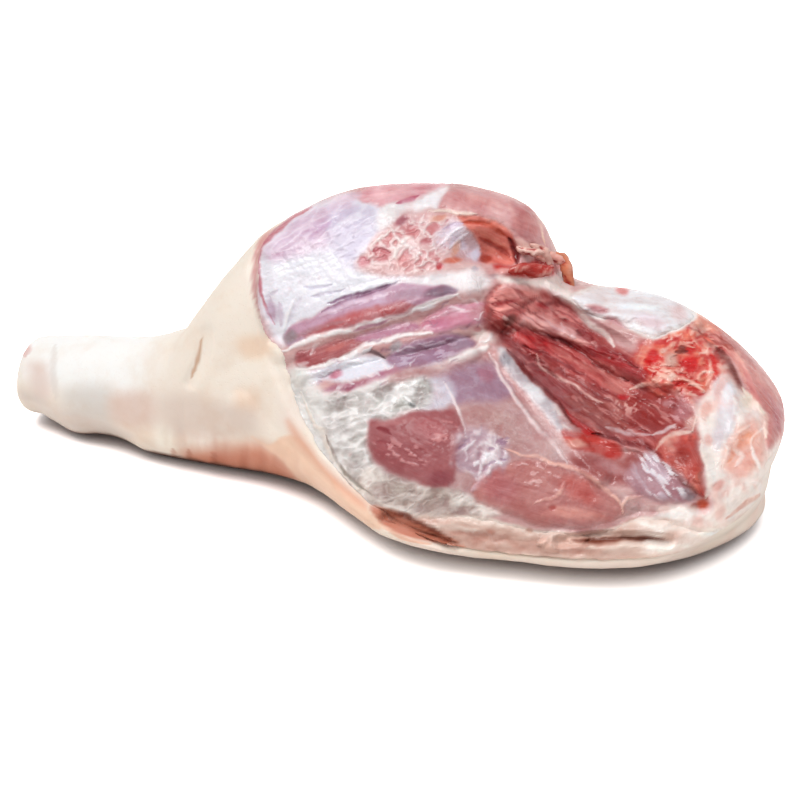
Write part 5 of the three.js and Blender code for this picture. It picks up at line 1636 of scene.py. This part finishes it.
# %% The finest shades of meat and fat
WHITE_FILM = (242, 236, 242)
BLOTCH_SIZE, VEIL_SIZE = (20, 15), (26, 8)
RED_SHADE, PALE_SHADE = np.array((0.07, 0.15, 0.14)), 0.06
CURD_SHADE = np.array((0.03, 0.06, 0.07))
blotch = cloud(warp_x / BLOTCH_SIZE[0], warp_y / BLOTCH_SIZE[1], 131)
pale = smooth(150, 225, lean.tint[..., 1:2])
variation = (1 - pale) * RED_SHADE + pale * PALE_SHADE
# The blotches are the meat's own uneven tone; the fibre and fine noises that lift the surface also darken
# its grooves and lighten its backs as painted shade and light.
lean.tint = lean.tint * (1 + (blotch + 1.35 * fibre + 0.6 * fine)[..., None] * variation)
veil = smooth(0.0, 0.45, cloud(grain_along / VEIL_SIZE[0], grain_across / VEIL_SIZE[1], 141)) * film_share
lean.tint = lay(lean.tint, WHITE_FILM, 0.35 * veil)
# Painted shade and light: the curds that lift the fat also darken it where low and lighten it where raised.
fat.tint = fat.tint * (1 + curds[..., None] * CURD_SHADE)
print("shades laid")


# %% Closed bodies from the face's grid
WALL_DEPTH, WALL_FACING, WALL_DRAWN_IN = 25.0, (0.0, 0.4), 0.2
TIP_DEPTH, TIP_SIDES, TIP_MIDDLE = 20.0, 0.35, 0.3


def face_form(rise, uneven):
    """The plain face moved along the line to the eye by its rise, and along its normal by the fine
    unevenness."""
    moved = face + face_to_eye * (rise * turned)[..., None]
    return settled(moved + face_normal * (uneven - sink)[..., None])


def with_ends(values):
    """Values on a grid as a list of points, with more for the walls and the fans' tips at its two ends."""
    return np.vstack([values.reshape(-1, 3), values[0], values[-1], values[0, :1], values[-1, :1]])


def face_sheet(name, form, part):
    """A closed body from a part of the face's grid: the sheet, a ruled strip behind it, and at each end a
    wall that goes straight back from the eye, closed by a fan around a point inside the leg."""
    normals = outward(form)[part]
    form = form[part]
    rows, columns = form.shape[:2]
    index = np.arange((rows + 2) * columns).reshape(rows + 2, columns)
    faces = quads_of(index[:rows]).tolist()
    back = (index[: rows - 1, -1], index[1:rows, -1], index[1:rows, 0], index[: rows - 1, 0])
    faces += np.stack(back, axis=-1).tolist()
    walls, tips = [], []
    for end, last_row in ((0, 0), (-1, rows - 1)):
        facing, to_eye = turned_to_eye(form[end], normals[end])
        facing = smooth(*WALL_FACING, facing)[:, None]
        inwards = -normals[end].mean(0)
        tip = TIP_SIDES * (form[end, 0] + form[end, -1]) + TIP_MIDDLE * form[end, columns // 2]
        tip = tip + TIP_DEPTH * inwards / np.linalg.norm(inwards)
        drawn_in = WALL_DRAWN_IN * (1 - facing) * (tip - form[end])
        walls.append(form[end] - WALL_DEPTH * facing * to_eye + drawn_in)
        tips.append(tip)
        strip = np.stack([index[last_row], index[rows + len(walls) - 1]])
        strip = np.concatenate([strip, strip[:, :1]], axis=1)
        turn = 1 if end == 0 else -1
        corners = (strip[0, :-1], strip[0, 1:], strip[1, 1:], strip[1, :-1])[::turn]
        faces += np.stack(corners, axis=-1).tolist()
        apex = np.full(columns, index.size + len(tips) - 1)
        faces += np.stack((apex, strip[1, :-1], strip[1, 1:])[::turn], axis=-1).tolist()
    piece = add_piece(name, np.vstack([form.reshape(-1, 3), *walls, *tips]), faces)
    piece.data.normals_split_custom_set_from_vertices(with_ends(normals).tolist())
    return piece


# %% Meat and fat as pieces
CUT_ROW = (FACE_ROWS + FACE_END_ROWS) // 2
LEFT_HALF, RIGHT_HALF, EVERY_SECOND = np.s_[: CUT_ROW + 1], np.s_[CUT_ROW:], np.s_[::2, ::2]
FINE_RISE, FAT_FINE_RISE, FAT_HIDING = 0.45, 0.18, 3.0
GRAIN_STEP = 20
lean_form = face_form(lean_rise, FINE_RISE * fine)
fat_form = face_form(fat_rise, FAT_FINE_RISE * fine - FAT_HIDING * smooth(0.45, 0.1, fat.cover))
grain = np.stack([grain_along, grain_across, lean.grain_turn * GRAIN_STEP], axis=-1) * PLAN_SQUARE
face_pieces = []
for name, form, layer, slot, part in (
    ("lean", lean_form, lean, "lean", LEFT_HALF),
    ("lean_right", lean_form, lean, "lean", RIGHT_HALF),
    ("fat", fat_form, fat, "fat", EVERY_SECOND),
):
    piece = face_sheet(name, form, part)
    add_colour(piece, "tint", with_ends(layer.tint[part]), with_ends(face_normal[part]))
    add_vector(piece, "traits", with_ends(layer.traits[part]))
    add_vector(piece, "grain", with_ends(grain[part]))
    face_pieces.append(piece)
lean_piece, lean_right, fat_piece = face_pieces

# %% [markdown]
# A butcher's knife leaves loose shreds: an orange flap that hangs from the dome's end, red tatters in the
# notch and a few pale ends of gristle. A curve with a round bevel would look like a worm, so each is a
# ribbon: an oval carried along a path, thin at its ends and uneven. The path's places are squares of the
# plan, and its depth is that of the meat where it starts, so it stays on what carries it.

# %% Shreds
SHRED_STEPS, SHRED_SIDES = 26, 14
SHRED_DROP, SHRED_LUMPS = 8.0, 0.8
form_across, form_down = (value.ravel() for value in on_plan(lean_form))
form_turned = face_turned.ravel()


def meat_depth(place):
    """Distance from the eye to the meat at a square of the plan: that of the nearest point which looks at
    the eye."""
    far = np.hypot(form_across - place[0], form_down - place[1]) + np.where(form_turned > 0.05, 0, 99)
    return np.linalg.norm(lean_form.reshape(-1, 3)[np.argmin(far)] - EYE)


def ribbon(points, half_width, half_thick):
    """Rows of ovals along a rounded path. Width lies across the path on the plan, thickness towards the
    eye."""
    line = rounded(points, False)
    place = np.linspace(0, len(line) - 1, SHRED_STEPS)
    path = np.stack([np.interp(place, np.arange(len(line)), line[:, k]) for k in range(2)], axis=-1)
    depth = np.linspace(meat_depth(points[0]), meat_depth(points[1]), SHRED_STEPS)
    depth = np.minimum(depth, depth[0] + SHRED_DROP) - 0.5 * half_thick
    on_sheet = (path[:, :1] - PLAN_CENTRE) * RIGHT - (path[:, 1:] - PLAN_CENTRE) * UP
    ray = on_sheet * PLAN_SQUARE - TO_EYE * EYE_DISTANCE
    ray = ray / np.linalg.norm(ray, axis=1, keepdims=True)
    middle = EYE + ray * depth[:, None]
    ahead = np.gradient(middle, axis=0)
    aside = np.cross(ray, ahead)
    aside = aside / np.linalg.norm(aside, axis=1, keepdims=True)
    share = np.linspace(0, 1, SHRED_STEPS)
    turn = np.arange(SHRED_SIDES) * 2 * math.pi / SHRED_SIDES
    taper = np.sqrt(np.clip(4 * share * (1 - share), 0.02, 1))[:, None]
    own = points[0][0]
    uneven = cloud(share[:, None] * 6, 1.5 * np.cos(turn), 23, z=1.5 * np.sin(turn) + own)
    girth = (taper * (1 + SHRED_LUMPS * uneven))[..., None]
    width = half_width * girth * np.cos(turn)[None, :, None] * aside[:, None, :]
    thick = half_thick * girth * np.sin(turn)[None, :, None] * -ray[:, None, :]
    return middle[:, None, :] + width + thick, uneven


# %% Shreds as one piece
SHRED_PALE, SHRED_DARK = (246, 206, 194), (158, 34, 34)
SHREDS = [
    ([(550, 255), (560, 258), (566, 268), (569, 282), (572, 297)], 4.4, 3.4, (226, 140, 108)),
    ([(534, 255), (545, 256), (556, 259), (565, 262)], 3.4, 2.6, (236, 160, 148)),
    ([(508, 272), (524, 269), (541, 271), (554, 267)], 4.6, 3.4, (178, 62, 56)),
    ([(530, 244), (540, 250), (548, 258), (550, 266)], 3.2, 2.8, (238, 186, 174)),
    ([(516, 247), (524, 251), (534, 252), (544, 252)], 3.0, 2.8, (242, 200, 188)),
    ([(542, 249), (549, 254), (557, 256)], 2.6, 2.4, (244, 196, 180)),
]
shred_points, shred_faces, shred_tints = [], [], []
for points, half_width, half_thick, colour in SHREDS:
    rows, streaks = ribbon(points, half_width, half_thick)
    first = len(shred_points) * SHRED_STEPS * SHRED_SIDES
    index = first + np.arange(SHRED_STEPS * SHRED_SIDES).reshape(SHRED_STEPS, SHRED_SIDES)
    ring = np.concatenate([index, index[:, :1]], axis=1)
    shred_faces += quads_of(ring).tolist() + [index[0].tolist(), index[-1, ::-1].tolist()]
    shred_points.append(rows.reshape(-1, 3))
    tint = np.zeros(rows.shape) + np.array(colour, float)
    tint = lay(tint, SHRED_PALE, 0.6 * smooth(0.05, 0.4, streaks))
    tint = lay(tint, SHRED_DARK, 0.8 * smooth(0.1, 0.45, -streaks))
    shred_tints.append(tint.reshape(-1, 3))
shred_points = np.vstack(shred_points)
shreds = add_piece("shreds", shred_points, shred_faces)
add_colour(shreds, "tint", np.vstack(shred_tints), np.zeros(shred_points.shape) + TO_EYE)
add_vector(shreds, "traits", np.zeros(shred_points.shape) + np.array(RAW))
add_vector(shreds, "grain", shred_points)

# %% [markdown]
# Wet meat glistens because its surface is uneven under a thin film of moisture. One node group makes that
# unevenness for every material: a fine noise for the height and a slower one that varies the roughness.


# %% Helpers for node trees
def feed(tree, value, socket):
    """A number set on a socket, or another socket linked to it."""
    if isinstance(value, (int, float)):
        socket.default_value = value
    else:
        tree.links.new(value, socket)


def new_group(name, inputs, outputs):
    """An empty shader group with float inputs given as (name, default) and float outputs by name."""
    group = bpy.data.node_groups.new(name, "ShaderNodeTree")
    for socket, default in inputs:
        made = group.interface.new_socket(socket, in_out="INPUT", socket_type="NodeSocketFloat")
        made.default_value = default
    for socket in outputs:
        group.interface.new_socket(socket, in_out="OUTPUT", socket_type="NodeSocketFloat")
    return group, group.nodes.new("NodeGroupInput"), group.nodes.new("NodeGroupOutput")


def new_noise(tree, vector, scale, detail, roughness=0.5, distortion=0.0):
    """A noise texture on a vector socket. Its scale is a number or a socket."""
    node = tree.nodes.new("ShaderNodeTexNoise")
    feed(tree, scale, node.inputs["Scale"])
    node.inputs["Detail"].default_value = detail
    node.inputs["Roughness"].default_value = roughness
    node.inputs["Distortion"].default_value = distortion
    tree.links.new(vector, node.inputs["Vector"])
    return node.outputs["Fac"]


def new_math(tree, operation, a, b):
    """A math node whose two inputs are sockets or numbers."""
    node = tree.nodes.new("ShaderNodeMath")
    node.operation = operation
    feed(tree, a, node.inputs[0])
    feed(tree, b, node.inputs[1])
    return node.outputs["Value"]


def scaled(tree, value, factor):
    """A socket times a number or another socket."""
    return new_math(tree, "MULTIPLY", value, factor)


def new_range(tree, value, low, high, to_low, to_high):
    """A map range node, clamped, with a smooth step."""
    node = tree.nodes.new("ShaderNodeMapRange")
    node.interpolation_type = "SMOOTHSTEP"
    for name, number in (("From Min", low), ("From Max", high), ("To Min", to_low), ("To Max", to_high)):
        node.inputs[name].default_value = number
    tree.links.new(value, node.inputs["Value"])
    return node.outputs["Result"]


# %% Node group for wet unevenness
wet, wet_in, wet_out = new_group(
    "wet_unevenness",
    [("Bumps", 180.0), ("Ripples", 60.0), ("Driest", 0.5), ("Wettest", 0.3)],
    ["Height", "Roughness"],
)
place = wet.nodes.new("ShaderNodeTexCoord").outputs["Object"]
bumps = new_noise(wet, place, wet_in.outputs["Bumps"], 4)
ripples = new_noise(wet, place, wet_in.outputs["Ripples"], 2)
dryness = new_range(wet, ripples, 0.35, 0.65, 0, 1)
span = new_math(wet, "SUBTRACT", wet_in.outputs["Driest"], wet_in.outputs["Wettest"])
roughness = new_math(wet, "ADD", scaled(wet, span, dryness), wet_in.outputs["Wettest"])
wet.links.new(scaled(wet, bumps, 0.5), wet_out.inputs["Height"])
wet.links.new(roughness, wet_out.inputs["Roughness"])
print("group", wet.name)

# %% [markdown]
# Membrane is the thin skin around a muscle. Where it bunches up it shows as pale threads and veils. The
# threads are the zero lines of a noise, which is what a crumpled film looks like when seen flat.

# %% Node group for membrane threads
film, film_in, film_out = new_group(
    "membrane_threads", [("Scale", 90.0), ("Amount", 1.0)], ["Threads", "Veil"]
)
place = film.nodes.new("ShaderNodeTexCoord").outputs["Object"]
fold = new_noise(film, place, film_in.outputs["Scale"], 3, distortion=0.6)
from_zero = new_math(film, "ABSOLUTE", new_math(film, "SUBTRACT", fold, 0.5), 0)
threads = new_range(film, from_zero, 0.0, 0.1, 1, 0)
patches = new_range(film, new_noise(film, place, 45, 2), 0.42, 0.62, 0, 1)
veil = new_range(film, new_noise(film, place, 70, 4, 0.6), 0.45, 0.7, 0, 1)
amount = film_in.outputs["Amount"]
film.links.new(scaled(film, scaled(film, threads, patches), amount), film_out.inputs["Threads"])
film.links.new(scaled(film, veil, amount), film_out.inputs["Veil"])
print("group", film.name)

# %% [markdown]
# The materials read the painted tint and add what is finer than the grid: fibres along each muscle's grain,
# threads of membrane, curds of fat and pores of skin. Light goes a little way into meat and fat, so each
# has some subsurface scattering, and a clear coat stands for the moisture.


# %% Helpers for materials
def new_material(name):
    """A node material with its Principled shader."""
    material = bpy.data.materials.new(name)
    material.use_nodes = True
    return material, material.node_tree, material.node_tree.nodes["Principled BSDF"]


def read_attribute(tree, name):
    """The node that reads a painted attribute of the piece."""
    node = tree.nodes.new("ShaderNodeAttribute")
    node.attribute_name = name
    return node


def read_traits(tree):
    """The painted shares of film, fibre and gloss."""
    node = tree.nodes.new("ShaderNodeSeparateXYZ")
    tree.links.new(read_attribute(tree, "traits").outputs["Vector"], node.inputs["Vector"])
    return node.outputs["X"], node.outputs["Y"], node.outputs["Z"]


def place_group(tree, group, **values):
    """A group node with its inputs set by name, from numbers or sockets."""
    node = tree.nodes.new("ShaderNodeGroup")
    node.node_tree = group
    for name, value in values.items():
        feed(tree, value, node.inputs[name])
    return node


def add_moisture(tree, shader, **values):
    """The wet unevenness in a material: its roughness goes to the shader, and its height is given back."""
    moisture = place_group(tree, wet, **values)
    tree.links.new(moisture.outputs["Roughness"], shader.inputs["Roughness"])
    return moisture.outputs["Height"]


def mix_colour(tree, cover, ground, colour, mode="MIX"):
    """A fixed linear colour mixed over a ground socket by a cover socket."""
    node = tree.nodes.new("ShaderNodeMix")
    node.data_type = "RGBA"
    node.blend_type = mode
    tree.links.new(cover, node.inputs["Factor"])
    tree.links.new(ground, node.inputs["A"])
    node.inputs["B"].default_value = (*colour, 1)
    return node.outputs["Result"]


def set_shader(shader, **values):
    """Plain numbers on the shader's own sockets, with underscores for spaces."""
    for name, value in values.items():
        shader.inputs[name.replace("_", " ")].default_value = value


def add_bump(tree, shader, height, strength, distance):
    """A bump from a height socket into the shader's normal."""
    node = tree.nodes.new("ShaderNodeBump")
    node.inputs["Strength"].default_value = strength
    node.inputs["Distance"].default_value = distance
    tree.links.new(height, node.inputs["Height"])
    tree.links.new(node.outputs["Normal"], shader.inputs["Normal"])


# %% The meat's material
FIBRE_STRETCH = (0.05, 0.75, 1)
FIBRE_DARK, FIBRE_PALE = (0.32, 0.05, 0.05), (0.85, 0.48, 0.45)
MEMBRANE_VEIL, MEMBRANE_THREAD = (0.80, 0.72, 0.80), (0.72, 0.68, 0.72)
meat, tree, shader = new_material("lean_meat")
film_share, fibre_share, gloss = read_traits(tree)
stretch = tree.nodes.new("ShaderNodeVectorMath")
stretch.operation = "MULTIPLY"
stretch.inputs[1].default_value = FIBRE_STRETCH
tree.links.new(read_attribute(tree, "grain").outputs["Vector"], stretch.inputs[0])
fibres = new_noise(tree, stretch.outputs["Vector"], 1.0, 4, 0.6)
dark_fibre = scaled(tree, new_range(tree, fibres, 0.52, 0.75, 0, 0.2), fibre_share)
pale_fibre = scaled(tree, new_range(tree, fibres, 0.48, 0.28, 0, 0.14), fibre_share)
membrane = place_group(tree, film, Scale=85.0, Amount=film_share)
threads = membrane.outputs["Threads"]
colour = read_attribute(tree, "tint").outputs["Color"]
colour = mix_colour(tree, dark_fibre, colour, FIBRE_DARK, "MULTIPLY")
colour = mix_colour(tree, pale_fibre, colour, FIBRE_PALE)
colour = mix_colour(tree, scaled(tree, membrane.outputs["Veil"], 0.15), colour, MEMBRANE_VEIL)
colour = mix_colour(tree, scaled(tree, threads, 0.25), colour, MEMBRANE_THREAD)
tree.links.new(colour, shader.inputs["Base Color"])
tree.links.new(scaled(tree, gloss, 0.4), shader.inputs["Coat Weight"])
height = add_moisture(tree, shader, Bumps=220.0, Ripples=70.0, Driest=0.55, Wettest=0.3)
height = new_math(tree, "ADD", height, scaled(tree, threads, 0.8))
height = new_math(tree, "ADD", height, scaled(tree, fibres, fibre_share))
add_bump(tree, shader, height, 0.5, 0.0012)
set_shader(shader, Subsurface_Weight=0.1, Subsurface_Radius=(1.0, 0.35, 0.25), Subsurface_Scale=0.0015)
set_shader(shader, Specular_IOR_Level=0.2, Coat_Roughness=0.08)
for piece in (lean_piece, lean_right, shreds):
    piece.data.materials.append(meat)
print("material", meat.name)

# %% The fat's material
CURD_COLOUR, FAT_THREAD = (0.62, 0.40, 0.34), (0.74, 0.72, 0.72)
suet, tree, shader = new_material("fat")
film_share, _, gloss = read_traits(tree)
place = tree.nodes.new("ShaderNodeTexCoord").outputs["Object"]
curd_noise = new_noise(tree, place, 160, 4, 0.6)
threads = place_group(tree, film, Scale=95.0, Amount=film_share).outputs["Threads"]
colour = read_attribute(tree, "tint").outputs["Color"]
colour = mix_colour(tree, new_range(tree, curd_noise, 0.45, 0.75, 0, 0.25), colour, CURD_COLOUR, "MULTIPLY")
colour = mix_colour(tree, scaled(tree, threads, 0.25), colour, FAT_THREAD)
tree.links.new(colour, shader.inputs["Base Color"])
tree.links.new(scaled(tree, gloss, 0.4), shader.inputs["Coat Weight"])
height = add_moisture(tree, shader, Bumps=150.0, Ripples=50.0, Driest=0.6, Wettest=0.36)
height = new_math(tree, "ADD", height, scaled(tree, threads, 0.6))
add_bump(tree, shader, height, 0.5, 0.0014)
set_shader(shader, Subsurface_Weight=0.15, Subsurface_Radius=(1.0, 0.6, 0.45), Subsurface_Scale=0.002)
set_shader(shader, Specular_IOR_Level=0.2, Coat_Roughness=0.1)
fat_piece.data.materials.append(suet)
print("material", suet.name)

# %% The skin's material
BLOTCH_COLOUR, PORE_COLOUR = (0.86, 0.66, 0.52), (0.55, 0.38, 0.30)
hide, tree, shader = new_material("rind")
place = tree.nodes.new("ShaderNodeTexCoord").outputs["Object"]
pores = tree.nodes.new("ShaderNodeTexVoronoi")
pores.inputs["Scale"].default_value = 420
tree.links.new(place, pores.inputs["Vector"])
pore = new_range(tree, pores.outputs["Distance"], 0.05, 0.3, 1, 0)
blotches = new_range(tree, new_noise(tree, place, 38, 4, 0.6), 0.45, 0.7, 0, 0.22)
colour = read_attribute(tree, "tint").outputs["Color"]
colour = mix_colour(tree, blotches, colour, BLOTCH_COLOUR, "MULTIPLY")
colour = mix_colour(tree, scaled(tree, pore, 0.12), colour, PORE_COLOUR)
tree.links.new(colour, shader.inputs["Base Color"])
height = add_moisture(tree, shader, Bumps=260.0, Ripples=30.0, Driest=0.55, Wettest=0.4)
height = new_math(tree, "SUBTRACT", height, scaled(tree, pore, 0.5))
add_bump(tree, shader, height, 0.25, 0.0008)
set_shader(shader, Subsurface_Weight=0.15, Subsurface_Radius=(1.0, 0.55, 0.4), Subsurface_Scale=0.003)
set_shader(shader, Specular_IOR_Level=0.3)
rind.data.materials.append(hide)
print("material", hide.name)

# %% [markdown]
# A plain white floor under soft studio light: a bright sky all round, a broad sun from the upper left that
# lights the floor evenly, and two small panels that put glints on what is wet. A brighter sky could make
# the floor white, but it would wash out the meat. So the floor glows, to the camera only, wherever it is
# open to the sky, and its contact shadow stays dark.

# %% Floor and light
FLOOR_SIZE, CONTACT_REACH = 12.0, 0.022
FLOOR_WHITE, FLOOR_BOUNCE, FLOOR_LIFT = (0.95, 0.84, 0.80), (0.86, 0.82, 0.79), (0.9, 0.9, 0.9)
FLOOR_SHADE = (0.1, 0.76)
floor_mesh = bpy.data.meshes.new("floor")
side = FLOOR_SIZE / 2
floor_corners = [(-side, -side, 0), (side, -side, 0), (side, side, 0), (-side, side, 0)]
floor_mesh.from_pydata(floor_corners, [], [(0, 1, 2, 3)])
floor = bpy.data.objects.new("floor", floor_mesh)
bpy.context.scene.collection.objects.link(floor)
paper, tree, shader = new_material("floor_white")
set_shader(shader, Roughness=0.9, Specular_IOR_Level=0.0)
looked_at = tree.nodes.new("ShaderNodeLightPath").outputs["Is Camera Ray"]
for socket, unseen, seen in (
    ("Base Color", FLOOR_BOUNCE, FLOOR_WHITE),
    ("Emission Color", (0, 0, 0), FLOOR_LIFT),
):
    blend = tree.nodes.new("ShaderNodeMix")
    blend.data_type = "RGBA"
    blend.inputs["A"].default_value = (*unseen, 1)
    blend.inputs["B"].default_value = (*seen, 1)
    tree.links.new(looked_at, blend.inputs["Factor"])
    tree.links.new(blend.outputs["Result"], shader.inputs[socket])
openness = tree.nodes.new("ShaderNodeAmbientOcclusion")
openness.inputs["Distance"].default_value = CONTACT_REACH
lift = new_range(tree, openness.outputs["AO"], *FLOOR_SHADE, 0, 1)
tree.links.new(lift, shader.inputs["Emission Strength"])
floor_mesh.materials.append(paper)
print("floor", FLOOR_SIZE, "m wide")

# %% Sky and lights
SKY_LIGHT = 0.5
LIGHTS_AIM = (0.05, 0.0, 0.08)
world = bpy.data.worlds.new("studio")
world.use_nodes = True
sky = world.node_tree.nodes["Background"]
sky.inputs["Color"].default_value = (1, 1, 1, 1)
sky_seen = world.node_tree.nodes.new("ShaderNodeLightPath").outputs["Is Camera Ray"]
brightness = new_range(world.node_tree, sky_seen, 0, 1, SKY_LIGHT, 1)
world.node_tree.links.new(brightness, sky.inputs["Strength"])
bpy.context.scene.world = world
bpy.context.scene.view_settings.view_transform = "Standard"


def add_light(kind, name, place, target, power, size):
    """A light at a place in metres, turned to a target. Size is a panel's side in metres or a sun's
    angle."""
    data = bpy.data.lights.new(name, kind)
    data.energy = power
    if kind == "SUN":
        data.angle = math.radians(size)
    else:
        data.shape = "SQUARE"
        data.size = size
    light = bpy.data.objects.new(name, data)
    away = np.array(place) - np.array(target)
    flat = math.hypot(away[0], away[1])
    light.location = place
    light.rotation_euler = (math.atan2(flat, away[2]), 0, math.atan2(away[0], -away[1]))
    bpy.context.scene.collection.objects.link(light)


add_light("SUN", "key", (-0.45, -0.55, 2.0), LIGHTS_AIM, power=2.7, size=34)
add_light("AREA", "front glint", (-0.1, -0.75, 1.9), LIGHTS_AIM, power=2.5, size=0.3)
add_light("AREA", "back glint", (0.7, 0.3, 1.8), LIGHTS_AIM, power=2.5, size=0.3)
